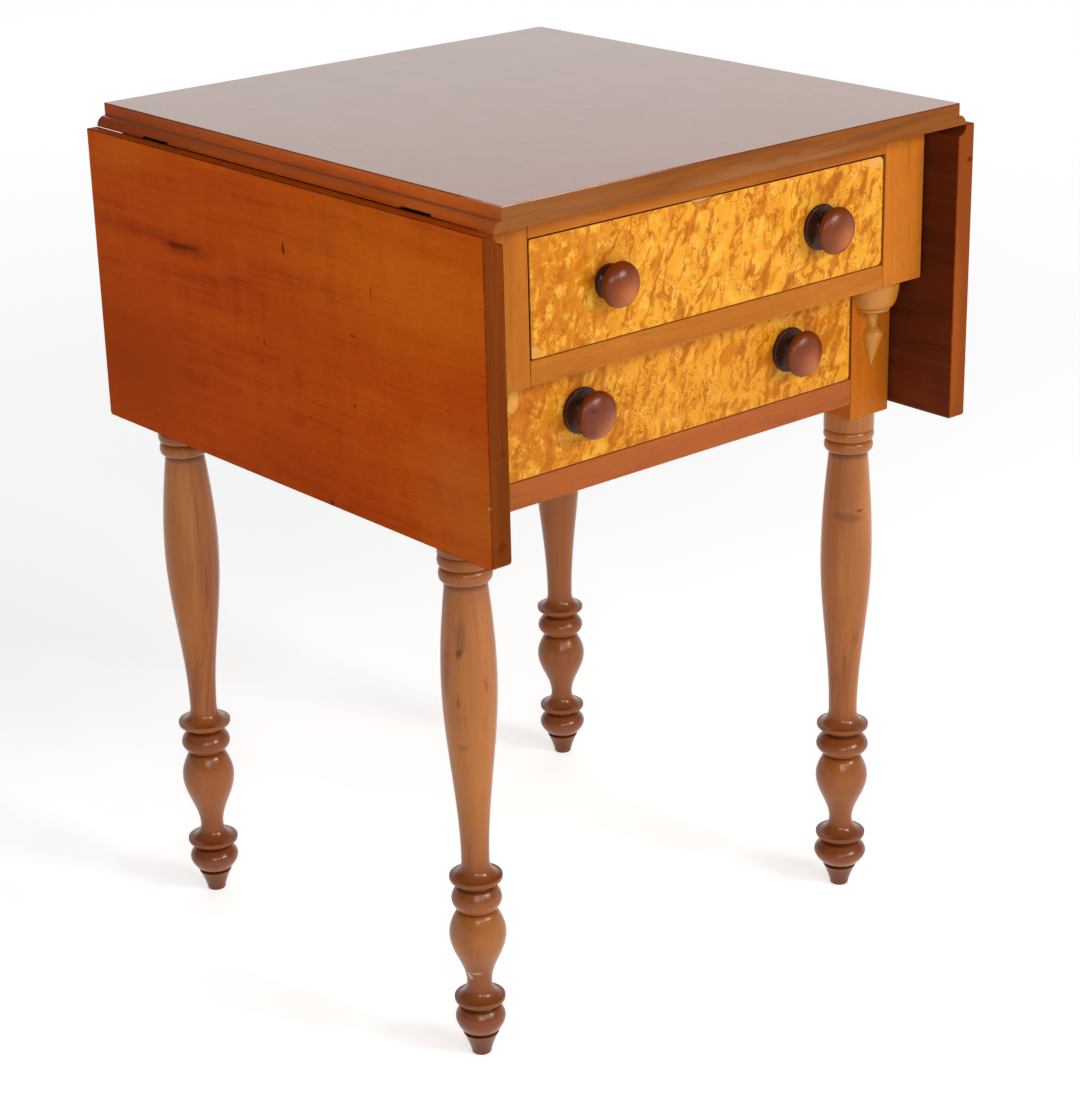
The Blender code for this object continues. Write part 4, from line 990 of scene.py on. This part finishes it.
def leaf_mesh(side, sign, edges):
    """A hanging leaf, hollowed along its upper edge and let in for its two hinge flaps."""
    low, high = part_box(f"leaf_{side}")
    pin = PIN_OF[f"leaf_{side}"]
    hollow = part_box("top_board")[1].x - abs(pin.x) + RULE_GAP
    thickness = high.x - low.x
    lip = math.degrees(math.acos(RULE_GAP / hollow))
    curve = [(z, -x) for x, z in arc((0.0, 0.0), hollow, 0, lip, 14)]
    foot = low.z - pin.z
    corner = arc((LEAF_CORNER, foot + LEAF_CORNER), LEAF_CORNER, 270, 180, 6)
    outline = curve + [(thickness, -RULE_GAP), (thickness, foot)] + corner
    outline = [(pin.x + sign * x, pin.z + z) for x, z in outline]

    def closes(point):
        return point.z > pin.z - 2 * RULE_GAP and abs(point.x - pin.x) < hollow + RULE_GAP

    blank = prism_shape(outline, low.y, high.y)
    board = settle(ease_edges(blank, edges.top_arris, 4, closes), f"leaf_{side}")
    tools = []
    for end in ENDS:
        flap_low, flap_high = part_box(f"hinge_flap_{side}_{end}")
        inner = pin.x - sign * thickness
        outer = pin.x + sign * FLAP_BED_DEPTH
        bed_low = (min(inner, outer), flap_low.y - SEAT_GAP, flap_low.z - SEAT_GAP)
        bed_high = (max(inner, outer), flap_high.y + SEAT_GAP, pin.z)
        tools.append(settle(box_shape(bed_low, bed_high), "bed"))
    for end_y, inwards in ((low.y, 1), (high.y, -1)):
        tools.append(corner_tool(end_y, low.z, inwards, low.x, high.x))
    return carved(board, tools)


def leg_profile(turning, hand):
    """Radius and height from the underside of the block down to the foot."""
    (belly_radius, ankle_radius, belly_height, saucer_radius, bead_radius,
     lift, ring_height, collar_height) = hand
    upper_share = 0.48  # of the height of the two rings
    ring_top = turning.turned_height - collar_height
    ring_middle = ring_top - upper_share * ring_height
    ring_bottom = ring_top - ring_height
    ring_seats = (0.0192, 0.0182, 0.0172)
    groove = 0.0158

    neck = (turning.neck_radius, ring_bottom)
    belly = (belly_radius, belly_height)
    ankle = (ankle_radius, 0.1765 + lift)
    upper_rim = (saucer_radius, 0.1618 + lift)
    upper_groove = (groove, 0.1542 + lift)
    upper_bead = (bead_radius, 0.1430 + lift)
    vase_seat = (groove, 0.1332 + lift)
    vase = (turning.vase_radius, 0.1115 + 0.7 * lift)
    waist = (turning.waist_radius, 0.0665)
    lower_rim = (saucer_radius - 0.0008, 0.0512)
    lower_groove = (groove, 0.0444)
    lower_bead = (bead_radius, 0.0342)
    bead_foot = (turning.peg_radius, 0.0218)
    foot = (0.0082, 0.0006)
    return joined(
        [(turning.collar_radius, turning.turned_height), (turning.collar_radius, ring_top + 0.0004)],
        [(turning.collar_radius - 0.0012, ring_top)],
        bead(*ring_seats[:2], turning.ring_radius, ring_top, ring_middle),
        bead(*ring_seats[1:], turning.ring_radius - 0.0006, ring_middle, ring_bottom),
        [neck],
        swell(neck, belly, 16),
        ease(belly, ankle, 24),
        saucer(ankle, upper_rim),
        cut(upper_groove),
        swell(upper_groove, upper_bead, 8),
        swell(vase_seat, upper_bead, 8)[::-1],
        cut(vase_seat),
        swell(vase_seat, vase, 10),
        ease(vase, waist, 18),
        saucer(waist, lower_rim),
        cut(lower_groove),
        swell(lower_groove, lower_bead, 8),
        swell(bead_foot, lower_bead, 10)[::-1],
        [(turning.peg_radius - 0.0034, 0.0212), (turning.peg_radius - 0.0034, 0.0204)],
        taper((turning.peg_radius - 0.0004, 0.0194), foot, 10, 1.35),
        [(foot[0] - 0.0006, 0.0), (0.0, 0.0)],
    )


def leg_mesh(node, turning, edges):
    """A square block with its turning below, as one closed piece."""
    low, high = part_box(node)
    middle = PILLAR_OF[node]
    block_low = Vector((low.x, low.y, turning.turned_height))
    profile = leg_profile(turning, LEG_HANDS[node])
    lathe = turned_mesh(node, profile, edges.turned_sides, Matrix.Translation((middle.x, middle.y, 0)))
    shape = ease_edges(box_shape(block_low, high), edges.case_arris)
    shape.from_mesh(lathe)
    bpy.data.meshes.remove(lathe)
    shape.normal_update()
    under_height = turning.turned_height - SEAT_GAP
    facing_down = [face for face in shape.faces if face.normal.z < DOWNWARD]
    under = max(
        (face for face in facing_down if face.calc_center_median().z > under_height),
        key=lambda face: face.calc_area(),
    )
    bmesh.ops.delete(shape, geom=[under], context="FACES_ONLY")
    rim = [edge for edge in shape.edges if edge.is_boundary]
    bmesh.ops.bridge_loops(shape, edges=rim)
    bmesh.ops.recalc_face_normals(shape, faces=shape.faces)
    return settle(shape, node)


def screw_mesh():
    """A slotted screw head, its face towards +Z and its seat at nought."""
    crown = [(0.0, 0.00050), (0.0016, 0.00045), (0.0026, 0.00028)]
    profile = crown + [(SCREW_RADIUS, 0.0), (0.0022, -0.0008), (0.0, -0.0008)]
    slot = box_shape((-0.0040, -0.00035, 0.0), (0.0040, 0.00035, 0.0010))
    return carved(turned_mesh("screw", profile, 24), [settle(slot, "slot")])


def pendant_mesh(node, edges):
    """A split turning: a bowl, a neck and a pointed drop, flat at the back."""
    low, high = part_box(node)
    radius = (high.x - low.x) / 2
    bowl_low, neck_low, widest = high.z - 0.0290, high.z - 0.0435, high.z - 0.0505
    rim, foot, neck, drop = 0.0152, 0.0080, 0.0046, 0.0101
    bowl = [(rim + r, z) for r, z in dome(radius - rim, high.z, bowl_low + 0.003 - high.z, 12)[::-1]]
    profile = joined(
        [(0.0, high.z)], bowl,
        bead(rim - 0.0010, rim - 0.0014, rim, bowl_low + 0.003, bowl_low, 6),
        [(foot + 0.0022, bowl_low - 0.0004)],
        flare((neck, neck_low + 0.0030), (foot + 0.0018, bowl_low - 0.0010), 10)[::-1],
        [(neck, neck_low + 0.0008)],
        swell((neck + 0.0004, neck_low), (drop, widest), 8),
        [(drop, widest - 0.0006), (drop - 0.0004, widest - 0.0016)],
        taper((drop - 0.0008, widest - 0.0026), (0.0009, low.z + 0.0008), 6, 0.92),
        [(0.0, low.z)],
    )
    place = Matrix.Translation(((low.x + high.x) / 2, high.y, 0))
    lathe = turned_mesh(node, profile, edges.turned_sides, place)
    shape = bmesh.new()
    shape.from_mesh(lathe)
    bpy.data.meshes.remove(lathe)
    every = [*shape.verts, *shape.edges, *shape.faces]
    bmesh.ops.bisect_plane(shape, geom=every, plane_co=(0, high.y, 0), plane_no=(0, 1, 0), clear_outer=True)
    bmesh.ops.holes_fill(shape, edges=[edge for edge in shape.edges if edge.is_boundary])
    bmesh.ops.recalc_face_normals(shape, faces=shape.faces)
    return settle(shape, node)


def knob_mesh(node, face_y, with_rose, edges):
    """A domed head on a neck, with a round rose or a plain cone behind it, and a tenon through the front."""
    low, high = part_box(node)
    radius = (high.x - low.x) / 2
    reach, depth = face_y - low.y, high.y - face_y
    crown = 0.0084
    if not with_rose:  # it is smaller, shorter and rounder
        radius, reach, crown = radius - 0.0014, reach - 0.0030, 0.0100
    rim_top = reach - crown
    rim_back = rim_top - 0.0022
    neck = (0.0080, 0.0105) if with_rose else (0.0090, 0.0090)
    profile = dome(radius, rim_top, crown, 16)
    profile += [(radius, rim_top - 0.0007), (radius - 0.0004, rim_top - 0.0015), (radius - 0.0016, rim_back)]
    profile += flare(neck, (radius - 0.0022, rim_back - 0.0006), 10)[::-1] + [neck]
    if with_rose:
        rose, thick = 0.0187, 0.0038
        profile += flare(neck, (rose - 0.0012, thick), 8)
        profile += bead(rose - 0.0008, rose - 0.0008, rose, thick - 0.0002, SEAT_GAP, 8)
    else:
        cone = 0.0138
        profile += ease(neck, (cone, 0.0025), 8) + [(cone, 0.0012), (cone - 0.0006, SEAT_GAP)]
    profile += [(KNOB_TENON, SEAT_GAP), (KNOB_TENON, -depth), (0.0, -depth)]
    place = Matrix.Translation(((low.x + high.x) / 2, face_y, (low.z + high.z) / 2)) @ TO_FRONT
    return turned_mesh(node, joined(profile), edges.turned_sides, place), face_y - rim_back


def veneer_mesh(drawer, edges, chip=None):
    """A sheet of veneer with soft corners, a chip out of its top edge, and holes for the knobs."""
    low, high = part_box(f"{drawer}_veneer")
    high.x -= VENEER_SHORT
    corner = VENEER_CORNER[drawer]
    small = 0.0015
    corners = (
        ((high.x - corner, high.z - corner), corner, 0),
        ((low.x + small, high.z - small), small, 90),
        ((low.x + small, low.z + small), small, 180),
        ((high.x - corner, low.z + corner), corner, 270),
    )
    outline = []
    for number, (centre, radius, start) in enumerate(corners):
        outline += arc(centre, radius, start, start + 90, 6)
        if chip and number == 0:
            start_x, end_x, depth = chip
            wide = end_x - start_x
            outline += [(end_x, high.z), (end_x - 0.25 * wide, high.z - 0.5 * depth)]
            outline += [(start_x + 0.3 * wide, high.z - depth), (start_x, high.z - 0.8 * depth)]
            outline += [(start_x, high.z)]
    blank = prism_shape(outline, low.y, high.y)
    sheet = settle(ease_edges(blank, edges.veneer_arris, 2), f"{drawer}_veneer")
    holes = []
    for side in SIDES:
        knob_low, knob_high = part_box(f"{drawer}_knob_{side}")
        middle = (knob_low + knob_high) / 2
        middle.y = low.y
        holes.append(rod_mesh(middle, KNOB_TENON + SEAT_GAP, HOLE_REACH))
    return carved(sheet, holes)


# Operators, one for each group of like pieces

class SIDETABLE_OT_top(bpy.types.Operator):
    """Make the polished top with its rule joints"""

    bl_idname = "side_table.top"
    bl_label = "Top"

    def execute(self, context):
        scene = context.scene
        colours = scene.side_table_colours
        dress("top_board", top_mesh(scene.side_table_edges), top_wood(colours),
              top_edge_wood(colours), lambda face: face.normal.z < LEVEL)
        return {"FINISHED"}


class SIDETABLE_OT_leaves(bpy.types.Operator):
    """Make the two hanging leaves"""

    bl_idname = "side_table.leaves"
    bl_label = "Leaves"

    def execute(self, context):
        finish = leaf_wood(context.scene.side_table_colours)
        back = leaf_back_wood(context.scene.side_table_colours)
        for side, sign in SIDES.items():
            node = f"leaf_{side}"
            pin = PIN_OF[node]
            inner = abs(pin.x) + FLAP_BED_DEPTH + SEAT_GAP
            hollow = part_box("top_board")[1].x - abs(pin.x) + 2 * RULE_GAP

            # painted shade: the leaves' backs and the hollows under the top's quarter-rounds take the dark finish
            def in_painted_shade(face):
                at_back = abs(face.center.x) < inner and abs(face.normal.y) < 0.5
                return at_back or math.dist((face.center.x, face.center.z), (pin.x, pin.z)) < hollow

            mesh = leaf_mesh(side, sign, context.scene.side_table_edges)
            dress(node, mesh, finish, back, in_painted_shade)
        return {"FINISHED"}


class SIDETABLE_OT_ironwork(bpy.types.Operator):
    """Make the rule-joint hinges and the pins of the fly brackets"""

    bl_idname = "side_table.ironwork"
    bl_label = "Ironwork"

    def execute(self, context):
        finish = aged_iron(context.scene.side_table_colours)
        width = context.scene.side_table_edges.iron_arris
        parts = [f"hinge_{part}_{side}" for part in ("plate", "flap", "pin") for side in SIDES]
        nodes = [f"{part}_{end}" for part in parts for end in ENDS]
        for node in nodes + [f"fly_pin_{side}" for side in SIDES]:
            dress(node, eased_copy(node, width), finish)
        screw = screw_mesh()
        for side, sign in SIDES.items():
            inward = Matrix.Rotation(math.radians(-90 * sign), 4, "Y")
            for end in ENDS:
                node = f"hinge_flap_{side}_{end}"
                low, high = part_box(node)
                middle = (low + high) / 2
                seat = Vector((PIN_OF[f"leaf_{side}"].x, middle.y, middle.z - SCREW_DROP))
                for number, (along, up, turn) in enumerate(FLAP_SCREWS, 1):
                    head = screw.copy()
                    spot = Matrix.Translation(seat + Vector((0.0, along, up)))
                    head.transform(spot @ inward @ Matrix.Rotation(math.radians(turn), 4, "Z"))
                    add_piece(f"flap_screw_{side}_{end}_{number}", head, finish, BODY_OF[node])
        return {"FINISHED"}


class SIDETABLE_OT_legs(bpy.types.Operator):
    """Make the four turned legs"""

    bl_idname = "side_table.legs"
    bl_label = "Legs"

    def execute(self, context):
        scene = context.scene
        turning = scene.side_table_turning
        finish = leg_wood(scene.side_table_colours)
        blocks = case_wood(scene.side_table_colours, "cherry_blocks", "Z", scene.side_table_colours.block)
        for node in LEGS:
            dress(node, leg_mesh(node, turning, scene.side_table_edges), finish,
                  blocks, lambda face: face.center.z > turning.turned_height - SEAT_GAP)
        return {"FINISHED"}


class SIDETABLE_OT_case(bpy.types.Operator):
    """Make the stiles, rails and panels of the case"""

    bl_idname = "side_table.case"
    bl_label = "Case"

    def execute(self, context):
        colours = context.scene.side_table_colours
        width = context.scene.side_table_edges.case_arris
        left = case_wood(colours, "cherry_left_stile", "Z")
        # painted light: the right stile is drawn lighter, for the light that falls on it
        right = case_wood(colours, "cherry_right_stile_lit", "Z", darker(colours.case_body, 1.18))
        level = case_wood(colours, "cherry_rails", "X")
        deep = case_wood(colours, "cherry_sides", "Y")
        low = case_wood(colours, "cherry_lower_rail", "X", colours.low_rail)
        boards = {
            left: ["stile_left"],
            right: ["stile_right"],
            level: ["top_rail", "middle_rail", "back_panel"],
            low: ["lower_rail"],
            deep: ["side_panel_left", "side_panel_right"],
        }
        for finish, nodes in boards.items():
            for node in nodes:
                dress(node, eased_board(node, width), finish)
        return {"FINISHED"}


class SIDETABLE_OT_pendants(bpy.types.Operator):
    """Make the two split pendants under the stiles"""

    bl_idname = "side_table.pendants"
    bl_label = "Pendants"

    def execute(self, context):
        finish = pendant_wood(context.scene.side_table_colours)
        for side in SIDES:
            node = f"pendant_{side}"
            dress(node, pendant_mesh(node, context.scene.side_table_edges), finish)
        return {"FINISHED"}


class SIDETABLE_OT_supports(bpy.types.Operator):
    """Make the fly rails and brackets, the runners and the kickers"""

    bl_idname = "side_table.supports"
    bl_label = "Supports"

    def execute(self, context):
        colours = context.scene.side_table_colours
        edges = context.scene.side_table_edges
        flies = case_wood(colours, "cherry_flies", "Y")
        plain = inside_wood(colours, "pine_runners", "Y")
        for side in SIDES:
            for node in (f"fly_rail_{side}", f"fly_bracket_{side}"):
                dress(node, eased_copy(node, edges.inside_arris), flies)
            for node in (f"upper_runner_{side}", f"lower_runner_{side}", f"kicker_{side}"):
                dress(node, eased_copy(node, edges.inside_arris), plain)
        return {"FINISHED"}


class SIDETABLE_OT_drawers(bpy.types.Operator):
    """Make the drawer boxes and their veneered fronts"""

    bl_idname = "side_table.drawers"
    bl_label = "Drawers"

    def execute(self, context):
        colours = context.scene.side_table_colours
        edges = context.scene.side_table_edges
        deep = inside_wood(colours, "pine_sides", "Y")
        wide = inside_wood(colours, "pine_backs", "X")
        chip_start, chip_end = VENEER_CHIP[:2]
        front_low, front_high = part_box("upper_drawer_front")
        bare = (((chip_start + chip_end) / 2, front_low.y, front_high.z), (0.02, 0.006, 0.008),
                colours.bare_wood, 1.0)
        veneer = birdseye_veneer(colours)
        boards = {"back": wide, "bottom": wide, "side_left": deep, "side_right": deep}
        for drawer, marks in (("upper_drawer", [bare]), ("lower_drawer", [])):
            for board, finish in (("front", front_wood(colours, drawer, marks)), *boards.items()):
                node = f"{drawer}_{board}"
                dress(node, eased_copy(node, edges.inside_arris), finish)
        for drawer, chip in (("upper_drawer", VENEER_CHIP), ("lower_drawer", None)):
            dress(f"{drawer}_veneer", veneer_mesh(drawer, edges, chip), veneer)
        return {"FINISHED"}


class SIDETABLE_OT_knobs(bpy.types.Operator):
    """Make the four turned knobs. The upper left one is a later, plainer turning"""

    bl_idname = "side_table.knobs"
    bl_label = "Knobs"

    def execute(self, context):
        finish = knob_wood(context.scene.side_table_colours)
        dark = rose_wood(context.scene.side_table_colours)
        for drawer in DRAWERS:
            face_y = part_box(f"{drawer}_veneer")[0].y
            for side in SIDES:
                node = f"{drawer}_knob_{side}"
                with_rose = node != PLAIN_KNOB
                mesh, head_back = knob_mesh(node, face_y, with_rose, context.scene.side_table_edges)
                dress(node, mesh, finish, dark, lambda face: face.center.y > head_back)
        return {"FINISHED"}


class SIDETABLE_OT_studio(bpy.types.Operator):
    """Set up the camera, the pale floor and the soft lights"""

    bl_idname = "side_table.studio"
    bl_label = "Studio"

    def execute(self, context):
        scene = context.scene
        settings = scene.side_table_studio
        floor = bpy.data.meshes.new("studio_floor")
        corners = ((-1, -1), (1, -1), (1, 1), (-1, 1))
        floor.from_pydata([(FLOOR_REACH * x, FLOOR_REACH * y, 0) for x, y in corners], [], [(0, 1, 2, 3)])
        floor.materials.append(studio_floor(settings))
        ground = bpy.data.objects.new("studio_floor", floor)
        scene.collection.objects.link(ground)

        camera = bpy.data.cameras.new("camera")
        camera.sensor_fit = "VERTICAL"
        camera.sensor_height = 36.0
        camera.lens = settings.lens
        viewer = bpy.data.objects.new("camera", camera)
        right, down, leaning = settings.camera_turn
        viewer.matrix_world = (
            Matrix.Translation(settings.camera_place)
            @ Matrix.Rotation(-right, 4, "Z")
            @ Matrix.Rotation(math.radians(90) - down, 4, "X")
            @ Matrix.Rotation(leaning, 4, "Z")
        )
        scene.collection.objects.link(viewer)
        scene.camera = viewer

        lights = (
            ("key_light", (0.80, -2.48, 1.72), (0.0, -0.2, 0.55), (1.0, 0.55), settings.key_power),
            ("front_light", (-0.45, -2.65, 1.70), (0.0, -0.1, 0.50), (1.0, 0.55), settings.front_power),
            ("fill_light", (-1.70, -2.30, 1.65), (0.0, 0.0, 0.40), (1.2, 0.60), settings.fill_power),
        )
        for name, place, target, size, power in lights:
            lamp = bpy.data.lights.new(name, "AREA")
            lamp.shape = "RECTANGLE"
            lamp.size, lamp.size_y = size
            lamp.energy = power
            holder = bpy.data.objects.new(name, lamp)
            holder.location = place
            holder.rotation_euler = (Vector(target) - Vector(place)).to_track_quat("-Z", "Y").to_euler()
            scene.collection.objects.link(holder)

        scene.world = studio_walls(settings)
        scene.view_settings.view_transform = "Standard"
        return {"FINISHED"}


class SIDETABLE_PT_panel(bpy.types.Panel):
    """Lists the table's pieces and the studio"""

    bl_idname = "SIDETABLE_PT_panel"
    bl_label = "Side table"
    bl_space_type = "VIEW_3D"
    bl_region_type = "UI"
    bl_category = "Side table"

    def draw(self, context):
        for operator in OPERATORS:
            self.layout.operator(operator.bl_idname)
        for name in SETTINGS:
            group = getattr(context.scene, name)
            for setting in group.bl_rna.properties.keys():
                if setting not in ("rna_type", "name"):
                    self.layout.prop(group, setting)


OPERATORS = (
    SIDETABLE_OT_studio,
    SIDETABLE_OT_top,
    SIDETABLE_OT_leaves,
    SIDETABLE_OT_ironwork,
    SIDETABLE_OT_legs,
    SIDETABLE_OT_case,
    SIDETABLE_OT_pendants,
    SIDETABLE_OT_supports,
    SIDETABLE_OT_drawers,
    SIDETABLE_OT_knobs,
)
SETTINGS = {
    "side_table_colours": SideTableColours,
    "side_table_edges": SideTableEdges,
    "side_table_turning": SideTableTurning,
    "side_table_studio": SideTableStudio,
}


def register():
    for group in SETTINGS.values():
        bpy.utils.register_class(group)
    for name, group in SETTINGS.items():
        setattr(bpy.types.Scene, name, bpy.props.PointerProperty(type=group))
    for shown in (*OPERATORS, SIDETABLE_PT_panel):
        bpy.utils.register_class(shown)


def unregister():
    for shown in (SIDETABLE_PT_panel, *reversed(OPERATORS)):
        bpy.utils.unregister_class(shown)
    for name, group in SETTINGS.items():
        delattr(bpy.types.Scene, name)
        bpy.utils.unregister_class(group)


def main():
    register()
    bpy.ops.side_table.studio()
    bpy.ops.side_table.top()
    bpy.ops.side_table.leaves()
    bpy.ops.side_table.ironwork()
    bpy.ops.side_table.legs()
    bpy.ops.side_table.case()
    bpy.ops.side_table.pendants()
    bpy.ops.side_table.supports()
    bpy.ops.side_table.drawers()
    bpy.ops.side_table.knobs()


if __name__ == "__main__":
    main()
